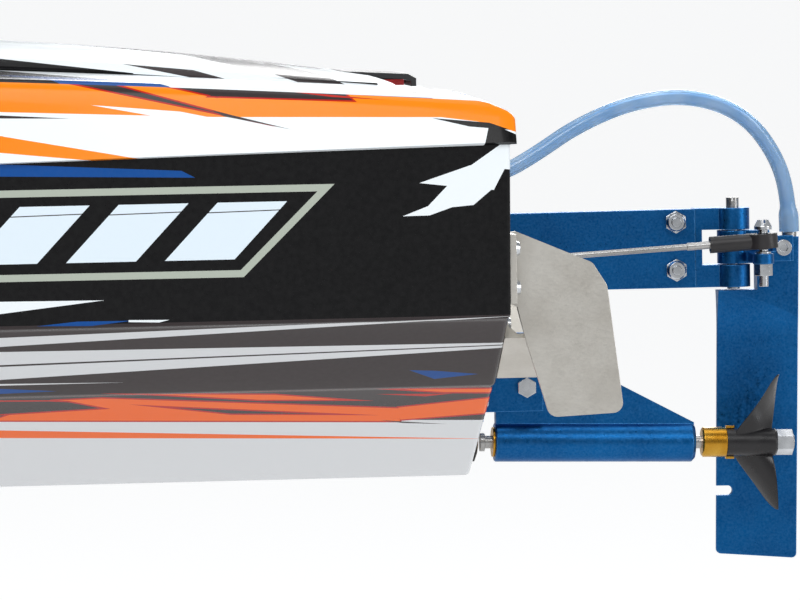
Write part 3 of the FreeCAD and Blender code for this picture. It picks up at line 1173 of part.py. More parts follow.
def check_and_write():
    """Stop on any failed object, then write every sub-part to its file."""
    document.recompute()
    for item in document.Objects:
        if {"Invalid", "Error"} & set(item.State):
            raise RuntimeError(f"{item.Label} failed: {item.State}")
    os.makedirs("parts", exist_ok=True)
    for item in sub_parts:
        if item.Shape.isNull() or not item.Shape.isValid() or item.Shape.Volume <= 0:
            raise RuntimeError(f"{item.Label} has no valid solid")
        item.Shape.exportStep(f"parts/{item.Label}.step")
        bounds = item.Shape.BoundBox
        print(f"{item.Label}: {len(item.Shape.Solids)} solid(s), {item.Shape.Volume:.0f} mm3, "
              f"x {bounds.XMin:.1f}..{bounds.XMax:.1f}, y {bounds.YMin:.1f}..{bounds.YMax:.1f}, "
              f"z {bounds.ZMin:.1f}..{bounds.ZMax:.1f}")
    print(f"{len(sub_parts)} sub-parts written")


fill_sheet()
hull_space, hatch_outer = build_shells()
build_strut()
build_propeller()
build_motor(hull_space)
build_rudder()
build_linkage(hull_space)
build_transom_hardware()
build_inside(hull_space)
build_latch(hatch_outer)
check_and_write()
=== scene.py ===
import json
import math

import bmesh
import bpy
from mathutils import Matrix, Vector


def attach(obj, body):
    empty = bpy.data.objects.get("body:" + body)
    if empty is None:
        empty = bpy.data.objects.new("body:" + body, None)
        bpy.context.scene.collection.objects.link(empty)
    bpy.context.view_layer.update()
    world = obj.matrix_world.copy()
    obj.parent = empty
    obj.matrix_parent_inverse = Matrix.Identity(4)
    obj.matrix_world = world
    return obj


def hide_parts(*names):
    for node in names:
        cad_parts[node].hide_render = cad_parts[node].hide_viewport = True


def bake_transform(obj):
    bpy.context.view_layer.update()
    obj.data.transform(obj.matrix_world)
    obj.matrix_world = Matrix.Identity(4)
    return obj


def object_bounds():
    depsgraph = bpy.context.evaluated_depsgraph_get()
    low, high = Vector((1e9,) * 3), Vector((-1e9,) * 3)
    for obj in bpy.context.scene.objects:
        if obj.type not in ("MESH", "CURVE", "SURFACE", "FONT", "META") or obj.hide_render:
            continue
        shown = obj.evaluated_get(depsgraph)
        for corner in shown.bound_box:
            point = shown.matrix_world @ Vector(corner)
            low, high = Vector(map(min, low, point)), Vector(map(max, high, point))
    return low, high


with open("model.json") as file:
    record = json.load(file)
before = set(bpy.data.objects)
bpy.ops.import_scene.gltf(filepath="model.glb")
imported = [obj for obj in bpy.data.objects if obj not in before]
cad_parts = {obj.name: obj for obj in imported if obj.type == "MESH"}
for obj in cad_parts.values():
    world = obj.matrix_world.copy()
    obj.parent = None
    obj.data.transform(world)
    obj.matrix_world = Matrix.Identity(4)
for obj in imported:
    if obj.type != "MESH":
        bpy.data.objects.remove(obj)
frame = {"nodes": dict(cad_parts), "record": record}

# The looks of a radio-controlled racing boat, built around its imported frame.
#
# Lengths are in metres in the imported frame; names that end in _MM hold millimetres.
# +X runs forward to the bow, +Y to port and +Z up, from the foot of the transom.

MM = 0.001
CAD_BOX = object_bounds()
nodes = frame["nodes"]

# ---------------------------------------------------------------- camera, light, floor

TARGET = Vector((0.0206, 0.0, 0.0553))
AZIMUTH, ELEVATION, ROLL = math.radians(174), math.radians(3), math.radians(1)
DISTANCE = 2.5
LENS = 364.5
SENSOR_MM = 36
FAR_CLIP = 200

# The surround and the floor are brighter to the camera than to the boat, so that they look
# nearly white while the light on the boat stays soft: first to the boat, then to the camera.
SURROUND_STRENGTH = (0.38, 1.05)
FLOOR_GLOW = (0.33, 0.6)
FLOOR_BASE = ((0.5, 0.5, 0.5), (0.9, 0.9, 0.9))
FLOOR_HALF, FLOOR_DROP = 30.0, 0.25
# Soft boxes: name, place, the point each faces, width, height and power in watts.
SOFT_BOXES = [
    ("key", (0.5, 1.8, 1.5), (0.05, 0, 0.08), 1.6, 0.9, 27),
    ("side", (-1.9, 1.0, 0.6), (-0.03, 0, 0.06), 0.7, 1.1, 13),
    ("top", (0.2, -0.2, 1.9), (0.2, 0, 0.1), 1.4, 1.4, 11),
    ("back", (-0.6, -1.9, 0.9), (0.1, 0, 0.1), 1.2, 0.8, 18),
]


def add_camera():
    """Aim a long lens at the stern from the port side."""
    back = Vector((math.sin(AZIMUTH) * math.cos(ELEVATION),
                   -math.cos(AZIMUTH) * math.cos(ELEVATION), math.sin(ELEVATION)))
    right = Vector((0, 0, 1)).cross(back).normalized()
    up = back.cross(right)
    across = right * math.cos(ROLL) - up * math.sin(ROLL)
    above = up * math.cos(ROLL) + right * math.sin(ROLL)
    data = bpy.data.cameras.new("camera")
    data.lens = LENS
    data.sensor_width = SENSOR_MM
    data.clip_end = FAR_CLIP
    camera = bpy.data.objects.new("camera", data)
    bpy.context.scene.collection.objects.link(camera)
    place = Matrix((across, above, back)).transposed().to_4x4()
    place.translation = TARGET + back * DISTANCE
    camera.matrix_world = place
    bpy.context.scene.camera = camera


def add_area(name, place, aim, width, height, power):
    """Hang one soft box that faces a point."""
    data = bpy.data.lights.new(name, "AREA")
    data.shape = "RECTANGLE"
    data.size = width
    data.size_y = height
    data.energy = power
    light = bpy.data.objects.new(name, data)
    light.location = place
    light.rotation_mode = "QUATERNION"
    light.rotation_quaternion = (Vector(aim) - Vector(place)).to_track_quat("-Z", "Y")
    bpy.context.scene.collection.objects.link(light)


def add_surround():
    """Surround the boat with even light."""
    world = bpy.data.worlds.new("surround")
    world.use_nodes = True
    surround = world.node_tree.nodes["Background"]
    surround.inputs["Color"].default_value = (0.96, 0.98, 1.0, 1)
    brightness = world.node_tree.nodes.new("ShaderNodeMapRange")
    brightness.inputs["To Min"].default_value = SURROUND_STRENGTH[0]
    brightness.inputs["To Max"].default_value = SURROUND_STRENGTH[1]
    path = world.node_tree.nodes.new("ShaderNodeLightPath")
    world.node_tree.links.new(path.outputs["Is Camera Ray"], brightness.inputs["Value"])
    world.node_tree.links.new(brightness.outputs[0], surround.inputs["Strength"])
    bpy.context.scene.world = world


def add_floor():
    """Lay a wide pale floor a little below the boat."""
    level = CAD_BOX[0].z - FLOOR_DROP
    mesh = bpy.data.meshes.new("floor")
    mesh.from_pydata([(x * FLOOR_HALF, y * FLOOR_HALF, level)
                      for x, y in ((-1, -1), (1, -1), (1, 1), (-1, 1))], [], [(0, 1, 2, 3)])
    floor = bpy.data.objects.new("floor", mesh)
    bpy.context.scene.collection.objects.link(floor)
    look = Look("pale_floor", base=FLOOR_BASE[1], roughness=0.9)
    look.set("Emission Color", (1, 1, 1, 1))
    seen = look.node("LightPath").outputs["Is Camera Ray"]
    look.feed(look.shader.inputs["Emission Strength"], look.ramp(seen, *FLOOR_GLOW))
    look.feed(look.shader.inputs["Base Color"], look.mix(seen, (*FLOOR_BASE[0], 1), look.base))
    mesh.materials.append(look.material)


def add_studio():
    """Make the pale floor, the even surround and the soft boxes."""
    bpy.context.scene.view_settings.view_transform = "Standard"
    add_surround()
    add_floor()
    for name, place, aim, width, height, power in SOFT_BOXES:
        add_area(name, place, aim, width, height, power)


# ---------------------------------------------------------------- node materials

# Noise mostly lies in this part of its 0..1 range.
NOISE_LOW, NOISE_HIGH = 0.3, 0.7
SOFTENING_SAMPLES = 6
EDGE_GAIN = 4.0


def linear(red, green, blue):
    """Turn an sRGB colour of three 0..255 levels into linear light."""
    return tuple(((c / 255 + 0.055) / 1.055) ** 2.4 if c > 10 else c / 3294.6
                 for c in (red, green, blue))


class Look:
    """One principled node material under construction."""

    def __init__(self, name, base, roughness=0.5, metallic=0.0, **sockets):
        self.material = bpy.data.materials.new(name)
        self.material.use_nodes = True
        self.tree = self.material.node_tree
        self.shader = self.tree.nodes["Principled BSDF"]
        self.base = (*base, 1)
        self.set("Base Color", self.base)
        self.set("Roughness", roughness)
        self.set("Metallic", metallic)
        for key, value in sockets.items():
            self.set(key.replace("_", " "), value)
        self.place = self.node("TexCoord").outputs["Object"]

    def set(self, socket, value):
        """Set one input of the shader."""
        self.shader.inputs[socket].default_value = value

    def node(self, kind, *inputs, **props):
        """Add a node, feed its inputs in order and set its properties."""
        made = self.tree.nodes.new("ShaderNode" + kind)
        for key, value in props.items():
            setattr(made, key, value)
        for i, value in enumerate(inputs):
            self.feed(made.inputs[i], value)
        return made

    def feed(self, socket, value):
        """Link an output to an input, or set the input's plain value."""
        if isinstance(value, bpy.types.NodeSocket):
            self.tree.links.new(value, socket)
        elif value is not None:
            socket.default_value = value

    def math(self, operation, *inputs, clamp=False):
        made = self.node("Math", *inputs, operation=operation, use_clamp=clamp)
        return made.outputs[0]

    def noise(self, scale, detail=3.0, stretch=(1, 1, 1)):
        """Noise over the object, finer with a larger scale (in cells per metre)."""
        spread = self.node("Mapping", self.place)
        spread.inputs["Scale"].default_value = stretch
        made = self.node("TexNoise", spread.outputs[0])
        made.inputs["Scale"].default_value = scale
        made.inputs["Detail"].default_value = detail
        return made.outputs["Fac"]

    def between(self, noise, low, high):
        """Stretch noise over a range."""
        made = self.node("MapRange", noise)
        made.inputs["From Min"].default_value = NOISE_LOW
        made.inputs["From Max"].default_value = NOISE_HIGH
        made.inputs["To Min"].default_value = low
        made.inputs["To Max"].default_value = high
        return made.outputs[0]

    def ramp(self, fac, low, high):
        """Remap a factor that runs from 0 to 1 to a range."""
        return self.math("MULTIPLY_ADD", fac, high - low, low)

    def mix(self, fac, first, second):
        """Blend two colours by a factor."""
        made = self.node("Mix", data_type="RGBA")
        for name, value in (("Factor_Float", fac), ("A_Color", first), ("B_Color", second)):
            socket = next(s for s in made.inputs if s.identifier == name)
            self.feed(socket, value)
        return next(s for s in made.outputs if s.identifier == "Result_Color")

    def tint(self, fac, dark, light):
        """Vary the base colour between two shades."""
        self.feed(self.shader.inputs["Base Color"], self.mix(fac, (*dark, 1), (*light, 1)))

    def rough(self, noise, low, high):
        """Vary the roughness over a range."""
        self.feed(self.shader.inputs["Roughness"], self.between(noise, low, high))

    def bump(self, height, strength, distance, radius=0.0):
        """Add fine relief, over edges that are softened by a small radius."""
        made = self.node("Bump")
        made.inputs["Strength"].default_value = strength
        made.inputs["Distance"].default_value = distance
        self.feed(made.inputs["Height"], height)
        if radius:
            soft = self.node("Bevel", radius, samples=SOFTENING_SAMPLES)
            self.feed(made.inputs["Normal"], soft.outputs[0])
        self.feed(self.shader.inputs["Normal"], made.outputs[0])

    def edge(self, radius):
        """1 on edges, where the softened normal leaves the true one, and 0 elsewhere."""
        soft = self.node("Bevel", radius, samples=SOFTENING_SAMPLES).outputs[0]
        true = self.node("NewGeometry").outputs["True Normal"]
        dot = self.node("VectorMath", soft, true, operation="DOT_PRODUCT").outputs["Value"]
        gap = self.math("SUBTRACT", 1.0, dot)
        return self.math("MULTIPLY", gap, EDGE_GAIN, clamp=True)


def anodised(name, dark, light, edge):
    """Blue anodised aluminium: satin, finely speckled, with a painted highlight along its thin
    edges.
    """
    look = Look(name, light, roughness=0.34, metallic=0.92)
    speckle = look.noise(1400, detail=2)
    cloud = look.noise(60, detail=4)
    mottled = look.mix(look.between(cloud, 0, 1), (*dark, 1), (*light, 1))
    dotted = look.mix(look.between(speckle, 0, 0.13), mottled, (*edge, 1))
    # Painted highlight: the edges are lightened towards the pale edge colour.
    painted_edge_highlight = look.math("MULTIPLY", look.edge(radius=0.0005), 0.75)
    look.feed(look.shader.inputs["Base Color"], look.mix(painted_edge_highlight, dotted, (*edge, 1)))
    look.rough(look.noise(700), 0.26, 0.42)
    look.bump(speckle, strength=0.12, distance=0.0001, radius=0.0004)
    return look.material


def metal(name, dark, light, rough_low, rough_high, grain=(1, 1, 1), fine=900, cloud=55):
    """Bare metal with clouded tone, directional grain and softened edges."""
    look = Look(name, light, roughness=rough_high, metallic=1.0)
    grained = look.noise(fine, detail=4, stretch=grain)
    look.tint(look.between(look.noise(cloud, detail=5), 0, 1), dark, light)
    look.rough(grained, rough_low, rough_high)
    look.bump(grained, strength=0.05, distance=0.00004, radius=0.0003)
    return look.material


def turned_metal(name, dark, light):
    """Metal turned on a lathe: fine rings across the X axis."""
    look = Look(name, light, roughness=0.25, metallic=1.0)
    rings = look.node("TexWave", look.place, wave_type="BANDS", bands_direction="X")
    rings.inputs["Scale"].default_value = 900
    rings.inputs["Distortion"].default_value = 0.6
    look.tint(look.between(look.noise(80, detail=4), 0, 1), dark, light)
    look.rough(look.noise(900, stretch=(6, 1, 1)), 0.16, 0.34)
    look.bump(rings.outputs["Fac"], strength=0.05, distance=0.00003, radius=0.0003)
    return look.material


def moulded(name, dark, light, rough_low=0.32, rough_high=0.5, grain=1500, relief=0.16):
    """Moulded plastic or rubber with a fine grain and faint cloudiness."""
    look = Look(name, light, roughness=rough_high)
    fine = look.noise(grain)
    look.tint(look.between(look.noise(70, detail=4), 0, 1), dark, light)
    look.rough(look.noise(260, detail=4), rough_low, rough_high)
    look.bump(fine, strength=relief, distance=0.00015, radius=0.0004)
    return look.material


def clear_plastic(name, dark, light, transmission, rough_low, rough_high):
    """Tinted see-through plastic with flow marks."""
    look = Look(name, light, roughness=rough_high, IOR=1.45)
    look.set("Transmission Weight", transmission)
    look.tint(look.between(look.noise(90, detail=4), 0, 1), dark, light)
    look.rough(look.noise(400), rough_low, rough_high)
    look.bump(look.noise(500), strength=0.08, distance=0.0001)
    return look.material


def woven(name, dark, light):
    """Strap webbing: two crossed sets of threads."""
    look = Look(name, light, roughness=0.85)
    look.set("Sheen Weight", 0.3)
    threads = []
    for way in ("X", "Y"):
        wave = look.node("TexWave", look.place, wave_type="BANDS", bands_direction=way)
        wave.inputs["Scale"].default_value = 320
        threads.append(wave.outputs["Fac"])
    weave = look.math("MULTIPLY", *threads)
    look.tint(weave, dark, light)
    look.bump(weave, strength=0.6, distance=0.0003)
    return look.material


def foam(name, dark, light):
    """Closed-cell foam: small round cells."""
    look = Look(name, light, roughness=0.9)
    cells = look.node("TexVoronoi", look.place)
    cells.inputs["Scale"].default_value = 450
    look.tint(cells.outputs["Distance"], light, dark)
    look.bump(cells.outputs["Distance"], strength=0.5, distance=0.0006)
    return look.material


# ---------------------------------------------------------------- livery

WHITE = linear(240, 247, 251)
# White paint made a little darker as painted shade, for the white shapes low on the hull.
SHADED_WHITE = linear(226, 229, 232)
BLACK = linear(10, 10, 12)
SMOKE = linear(56, 49, 50)
ORANGE = linear(248, 136, 16)
DEEP_ORANGE = linear(250, 104, 0)
RED = linear(190, 28, 18)
BLUE = linear(14, 76, 150)
SILVER = linear(176, 184, 172)
ICE = linear(226, 240, 250)

# Painted shapes, in the order that they are sprayed: colour, outline colour or None, and
# the corners of each convex part in millimetres. Side shapes are (forward, up), and are the
# same on both sides of the boat; top shapes are (forward, out from the centreline).
HULL_SHAPES_MM = [
    (BLUE, None, [(93, 98.9), (97, 101), (150, 104), (262, 103.4)]),
    (WHITE, None, [(-3, 109), (1.2, 108), (12, 100.6), (-3, 99)],
     [(1, 101), (12, 100.8), (27, 95.9), (18, 94.8), (5, 93.4)],
     [(18.2, 95.5), (25, 88.5), (17, 88.6), (11, 89.1), (5.6, 93.6)],
     [(24.6, 89), (32, 86.2), (24, 86.3), (17, 88.7)]),
    (WHITE, None, [(120, 63.4), (190, 64), (262, 57), (151, 60)]),
    (WHITE, None, [(330, 101), (392, 99), (560, 64), (470, 68)]),
    (ORANGE, RED, [(360, 101), (378, 99.5), (600, 72), (500, 80)]),
    (BLUE, None, [(420, 66), (700, 86), (640, 70)]),
    (WHITE, None, [(560, 98), (700, 97), (790, 93), (640, 92)]),
    (SMOKE, None, [(-6, 56.4), (450, 56.4), (450, 0), (-6, 0)],
     [(440, 56.4), (560, 57), (560, 0), (440, 0)],
     [(550, 56.5), (700, 68), (700, 0), (550, 0)],
     [(690, 67), (800, 91), (800, 0), (690, 0)]),
    # The pale shapes here are white paint, darkened as painted shade.
    (SHADED_WHITE, None, [(-3, 56), (150, 49.6), (150, 52.5)],
     [(149, 52.5), (149, 49.6), (330, 44), (420, 50)]),
    (SHADED_WHITE, None, [(-3, 47.1), (-3, 45.6), (150, 38.7), (150, 47.9)],
     [(149, 47.9), (149, 38.7), (330, 34), (480, 47)]),
    (SMOKE, None, [(150, 43.6), (0, 46.5), (0, 46.2), (150, 43)]),
    (SHADED_WHITE, None, [(152, 37.4), (112, 36.9), (152, 36.8), (200, 37)]),
    (BLUE, None, [(27, 38.7), (19, 38.3), (6, 36.9), (19, 35.6)]),
    (BLUE, None, [(112, 57.2), (128, 57.3), (140, 56.2), (124, 55.9)]),
    (WHITE, None, [(101, 57.2), (113, 57.4), (113, 56.8), (104, 56.5)]),
    (BLUE, None, [(132, 34.5), (160, 36.6), (200, 35.5), (152, 34)]),
    (SHADED_WHITE, None, [(-6, 20.4), (150, 24.8), (150, -9), (-6, -9)],
     [(148, 24.8), (420, 24.8), (420, -9), (148, -9)],
     [(410, 24.8), (806, 70), (806, -9), (410, -9)]),
    (DEEP_ORANGE, RED, [(133, 31), (118, 31.4), (27, 25.4), (26, 20.9), (150, 24.6)],
     [(27.5, 25.7), (-3, 28.6), (-3, 23.3), (26, 21.4)]),
    (SMOKE, RED, [(128, 30.4), (134, 30.8), (152, 31.2), (152, 26.6), (118, 28)]),
    (SMOKE, RED, [(96, 27.6), (52, 24.2), (78, 25)]),
    (DEEP_ORANGE, RED, [(102, 32.4), (66, 31.2), (46, 29), (70, 29.6)]),
    (DEEP_ORANGE, RED, [(27, 32), (-3, 31.4), (-3, 30.2), (15, 30.8)]),
    (RED, None, [(35, 30.6), (12, 30.2), (20, 29.4)]),
    (DEEP_ORANGE, RED, [(150, 30.4), (152, 25), (420, 24.5), (560, 30), (330, 32)]),
    (DEEP_ORANGE, None, [(152, 21.3), (152, 18.5), (-3, 13.8)],
     [(151, 21.2), (151, 18.6), (420, 18), (560, 20)]),
    (SMOKE, None, [(32, 21.4), (11, 19.4), (25, 20.2)]),
]
# The block of bars on the flank: its corners, its silver rim and the dark border round it,
# then the bars, which lean forward this much for each millimetre that they drop. Each is
# crossed by a thin line, whose corners are measured forward from the bar's start.
BLOCK_MM = [(52, 96.2), (79, 69.3), (262, 69.6), (235, 96.4)]
BLOCK_RIM_MM, BLOCK_BORDER_MM = 2.1, 2.4
BAR_COUNT, BAR_PITCH_MM, BAR_WIDE_MM, BAR_START_MM = 6, 29, 20.5, 66
BAR_TOP_MM, BAR_LOW_MM, BAR_LEAN = 91.4, 74.6, 0.93
BAR_LINE_MM = [(-1, 88.8), (60, 87.6), (60, 87.9), (-1, 89.1)]
DECK_SHAPES_MM = [
    (ORANGE, None, [(152, 134), (152, 119.3), (87, 116.5), (-3, 114.6), (-3, 124)],
     [(-3, 117), (-3, 110), (12, 114.4), (12, 117)],
     [(8, 117), (8, 113.4), (26, 115.9), (26, 117)],
     [(150, 134), (150, 119.2), (330, 124), (330, 138)],
     [(329, 138), (329, 124), (560, 134)]),
    (SMOKE, RED, [(118, 130), (86, 122.4), (66, 123.4), (80, 128)],
     [(88, 122.6), (46, 120.5), (50, 124), (80, 128)]),
    (SMOKE, RED, [(147, 131.4), (130.5, 130.6), (83.5, 117)]),
    (WHITE, None, [(123, 120.7), (97, 118.3), (84, 115.5), (104, 117)]),
    (SMOKE, None, [(88, 118.6), (64, 112.3), (84, 116.6)]),
    (SMOKE, None, [(152, 118.4), (129, 116.9), (152, 117.4)]),
    (RED, None, [(70, 124.2), (36, 120.4), (52, 121.6)]),
    (BLUE, None, [(65, 125), (4, 120.7), (4, 120.1), (65, 124.4)]),
    (ORANGE, None, [(150, 112.3), (105, 104), (118, 104), (150, 107.4)],
     [(149, 112.2), (149, 107.3), (330, 122), (330, 128)]),
    (SMOKE, RED, [(300, 134), (360, 135), (520, 104), (470, 106)]),
    (BLUE, None, [(470, 135), (520, 134), (640, 102), (590, 102)]),
    (SMOKE, None, [(560, 134), (700, 119), (806, 96), (640, 104)]),
    (BLACK, None, [(23, 114.9), (6, 113.2), (0, 111), (12, 112.2)],
     [(6, 113.2), (-3, 109), (-3, 106), (8, 106)]),
]
# The deck's top shapes are painted nearer to the centreline than this.
DECK_TOP_HALF_MM = 117.2
DECK_TOP_SHAPES_MM = [
    (BLACK, None, [(97, 120), (152, 85), (420, 84), (580, 122)]),
    (BLUE, None, [(119, 106), (97, 118.5), (128, 120), (150, 104)]),
    (BLUE, None, [(16, 94), (5, 117), (3, 117), (13, 92)]),
    (SMOKE, None, [(36, 106), (30, 112), (18, 108), (26, 103)]),
    (BLUE, None, [(96, 120), (30, 120), (22, 117), (60, 117.2)]),
    (ORANGE, RED, [(600, 40), (700, 55), (800, 5), (640, 12)]),
    (SMOKE, None, [(640, 0), (640, 12), (800, 4), (800, 0)]),
]
HATCH_SHAPES_MM = [
    (BLACK, None, [(108, 129), (150, 134.3), (230, 139), (420, 140.5), (540, 134),
                   (540, 110), (108, 110)]),
    (SMOKE, None, [(111, 131.7), (90, 129.5), (72, 124.2), (80, 125)]),
    (SMOKE, None, [(99, 135.3), (51, 127.5), (66, 127.8)],
     [(64, 130), (51, 127.4), (41.6, 122.7), (53, 123.2), (66, 127.8)]),
    (ORANGE, RED, [(160, 137), (520, 139), (420, 149), (300, 147)]),
]
HATCH_TOP_SHAPES_MM = [
    (SMOKE, None, [(120, 0), (44, 0), (44, 12), (70, 34)]),
    (WHITE, None, [(80, 8), (50, 4), (50, 9)]),
    (SMOKE, RED, [(190, 0), (300, 26), (540, 14), (540, 0)]),
    (BLUE, None, [(260, 30), (430, 42), (540, 30), (430, 30)]),
]
OUTLINE_MM = 0.45


class Livery(Look):
    """Glossy paint whose shapes are sprayed one over another."""

    def __init__(self, name, base):
        super().__init__(name, base, roughness=0.2, IOR=1.22)
        self.set("Coat Weight", 0.08)
        self.set("Coat Roughness", 0.06)
        parts = self.node("SeparateXYZ", self.place).outputs
        forward, out, up = (self.math("MULTIPLY", part, 1 / MM) for part in parts)
        self.out = self.math("ABSOLUTE", out)
        self.side = self.node("CombineXYZ", forward, 1.0, up).outputs[0]
        self.top = self.node("CombineXYZ", forward, 1.0, self.out).outputs[0]
        self.colour = self.base

    def depth(self, corners, view):
        """How far inside a convex shape a point lies, in millimetres."""
        sides = list(zip(corners, corners[1:] + corners[:1]))
        if sum(ax * bz - bx * az for (ax, az), (bx, bz) in sides) < 0:
            sides = [(b, a) for a, b in reversed(sides)]
        deep = None
        for (ax, az), (bx, bz) in sides:
            span = math.hypot(bx - ax, bz - az)
            nx, nz = -(bz - az) / span, (bx - ax) / span
            plane = (nx, -(nx * ax + nz * az), nz)
            away = self.node("VectorMath", view, plane, operation="DOT_PRODUCT").outputs["Value"]
            deep = away if deep is None else self.math("MINIMUM", deep, away)
        return deep

    def spray(self, colour, deep, grow=0.0, within=None):
        """Lay a colour over the paint wherever a depth, grown a little, is above zero."""
        mask = self.math("GREATER_THAN", deep, -grow)
        if within is not None:
            mask = self.math("MULTIPLY", mask, within)
        self.colour = self.mix(mask, self.colour, (*colour, 1))

    def shapes(self, shapes, view, within=None):
        """Spray painted shapes in order, each over its outline."""
        for colour, rim, *parts in shapes:
            deep = self.depth(parts[0], view)
            for corners in parts[1:]:
                deep = self.math("MAXIMUM", deep, self.depth(corners, view))
            if rim:
                self.spray(rim, deep, OUTLINE_MM, within)
            self.spray(colour, deep, 0.0, within)

    def finished(self):
        """Add the faint orange peel and dust of real gloss paint."""
        dust = self.between(self.noise(600, detail=2), 0.0, 0.008)
        self.colour = self.mix(dust, self.colour, (0.5, 0.5, 0.5, 1))
        self.feed(self.shader.inputs["Base Color"], self.colour)
        self.rough(self.noise(35, detail=4), 0.16, 0.27)
        self.bump(self.noise(260, detail=2), strength=0.02, distance=0.0002)
        return self.material


def block_bars(look):
    """Paint a plain slanted block of bars, rimmed in silver, on the hull's flank."""
    deep = look.depth(BLOCK_MM, look.side)
    look.spray(BLACK, deep, BLOCK_BORDER_MM)
    look.spray(SILVER, deep)
    look.spray(BLACK, look.math("SUBTRACT", deep, BLOCK_RIM_MM))
    lean = (BAR_TOP_MM - BAR_LOW_MM) * BAR_LEAN
    for i in range(BAR_COUNT):
        start = BAR_START_MM + i * BAR_PITCH_MM
        bar = look.depth([(start, BAR_TOP_MM), (start + lean, BAR_LOW_MM),
                          (start + lean + BAR_WIDE_MM, BAR_LOW_MM),
                          (start + BAR_WIDE_MM, BAR_TOP_MM)], look.side)
        line = look.depth([(start + ahead, up) for ahead, up in BAR_LINE_MM], look.side)
        look.spray(ICE, bar)
        look.spray(SMOKE, look.math("MINIMUM", bar, line))


def hull_livery():
    look = Livery("hull_paint_look", BLACK)
    look.shapes(HULL_SHAPES_MM, look.side)
    block_bars(look)
    return look.finished()


def deck_livery():
    look = Livery("deck_paint_look", WHITE)
    look.shapes(DECK_SHAPES_MM, look.side)
    flat = look.math("LESS_THAN", look.out, DECK_TOP_HALF_MM)
    look.colour = look.mix(flat, look.colour, (*WHITE, 1))
    look.shapes(DECK_TOP_SHAPES_MM, look.top, flat)
    return look.finished()


def hatch_livery():
    look = Livery("hatch_paint_look", WHITE)
    look.shapes(HATCH_SHAPES_MM, look.side)
    look.shapes(HATCH_TOP_SHAPES_MM, look.top)
    return look.finished()


# ---------------------------------------------------------------- body shells

# Long lines of the shells on the port side, in millimetres. A line of five points is
# straight to its second point, and one of seven is curved there; the last four points are
# the control points of the curve into the stem.
HULL_LINES_MM = [
    [(0, 0, 0), (330, 0, 0), (560, 0, 0), (720, 0, 14), (792, 0, 76)],
    [(0, 70, 32.6), (330, 70, 32.6), (560, 70, 32.6), (706, 32, 44), (795, 0, 80)],
    [(0, 74, 32.6), (330, 74, 32.6), (560, 74, 32.6), (710, 35, 45), (796, 0, 82.5)],
    [(0, 112, 55), (330, 112, 55), (540, 112, 56), (712, 50, 69), (799, 0, 88)],
    [(0, 117, 55), (330, 117, 55), (540, 117, 56), (716, 54, 70), (800.5, 0, 90.5)],
    [(0, 122, 107.5), (330, 122, 100.7), (490, 122, 97.4), (720, 74, 95), (806, 0, 97)],
]
DECK_LINES_MM = [
    [(-1.9, 0, 117), (80, 0, 126.6), (220, 0, 136), (330, 0, 137), (500, 0, 139),
     (690, 0, 123), (799, 0, 102.5)],
    [(-1.9, 86, 120.9), (108, 86, 129.8), (220, 86, 135), (330, 86, 136), (500, 86, 137.5),
     (690, 50, 121), (801, 0, 101.5)],
    [(-1.9, 118, 119.6), (108, 118, 127.8), (220, 118, 133), (330, 118, 134),
     (500, 118, 135.5), (700, 70, 118), (804, 0, 100)],
    [(-1.9, 123.6, 107.54), (330, 123.6, 100.7), (490, 123.6, 97.4), (720, 75.6, 95),
     (806, 0, 97)],
]
# Hatch sections: station, half width, and the heights of its edge, its knee and its centre.
# The knee lies at this share of the half width.
KNEE = 0.62
HATCH_SECTIONS_MM = [
    (28, 86, 124.0, 124.6, 124.8), (40, 86, 125.2, 126.3, 126.7),
    (64, 86, 127.2, 129.2, 129.9), (106, 86, 130.8, 133.8, 134.7),
    (150, 86, 133.6, 137.2, 138.4), (230, 86, 137.0, 144.0, 147.0),
    (310, 86, 138.2, 149.5, 155.0), (380, 86, 138.2, 149.5, 156.0),
    (450, 82, 137.0, 144.5, 149.0), (520, 72, 133.6, 138.0, 140.5),
    (562, 60, 130.4, 132.6, 133.4),
]
# The hatch's rounded ends and long edges, the skirt below them, and its counts of sections
# in an end, of sections between the ends and of points across.
HATCH_END_MM, HATCH_EDGE_MM, HATCH_SKIRT_MM = 3, 1.6, 2.2
HATCH_END_STEPS, HATCH_LONG_STEPS, HATCH_WIDE_STEPS = 5, 90, 40
# Plan and heights of the finger recess under the hatch's tail.
RECESS_MM = [(3, -12), (33, -12), (33, 12), (3, 12)]
RECESS_HEIGHTS_MM = (94, 124.15)
# The deck's opening: the margin that the hatch overlaps it by, and its cutter's heights.
OPENING_MARGIN_MM = 5
OPENING_HEIGHTS_MM = (80, 170)
# Walls, corner radii, and the length and depth of the rounded edge at the stern.
HULL_WALL_MM, DECK_WALL_MM, HATCH_WALL_MM = 2.2, 2, 1.6
HULL_CORNER_MM, DECK_CORNER_MM = 3, 4
HULL_STERN_MM, DECK_STERN_MM = (1.6, 1.4), (2.4, 1.8)
# A corner's round takes up at most this share of the flats beside it.
CORNER_SHARE = 0.42
# Counts of sections, which crowd towards the stern by a power, and of points in a section.
AFT_STEPS, BOW_STEPS, STERN_STEPS, AFT_CROWDING = 40, 44, 6, 1.6
CORNER_STEPS, SPAN_STEPS = 5, 6
TINY = 1e-9
MERGE_DISTANCE = 1e-6
# Edges sharper than these stay sharp in the shading.
SHELL_EDGE, HOSE_EDGE = math.radians(35), math.radians(50)
# The deck's aft bevel: it starts at the stern, this high, and rises forward this steeply.
BEVEL_START_MM, BEVEL_FOOT_MM, BEVEL_SLOPE, BEVEL_SOFT_MM = -1.9, 115.3, 0.514, 1.6


def bezier(points, t):
    """Point on a Bezier curve of any degree."""
    points = [Vector(p) for p in points]
    while len(points) > 1:
        points = [a.lerp(b, t) for a, b in zip(points, points[1:])]
    return points[0]


def along(line):
    """Points down a long line, on its first stretch and then on its curve into the stem."""
    first = line[:2] if len(line) == 5 else line[:4]
    spots = [bezier(first, (i / AFT_STEPS) ** AFT_CROWDING) for i in range(AFT_STEPS)]
    return spots + [bezier(line[-4:], i / BOW_STEPS) for i in range(BOW_STEPS + 1)]


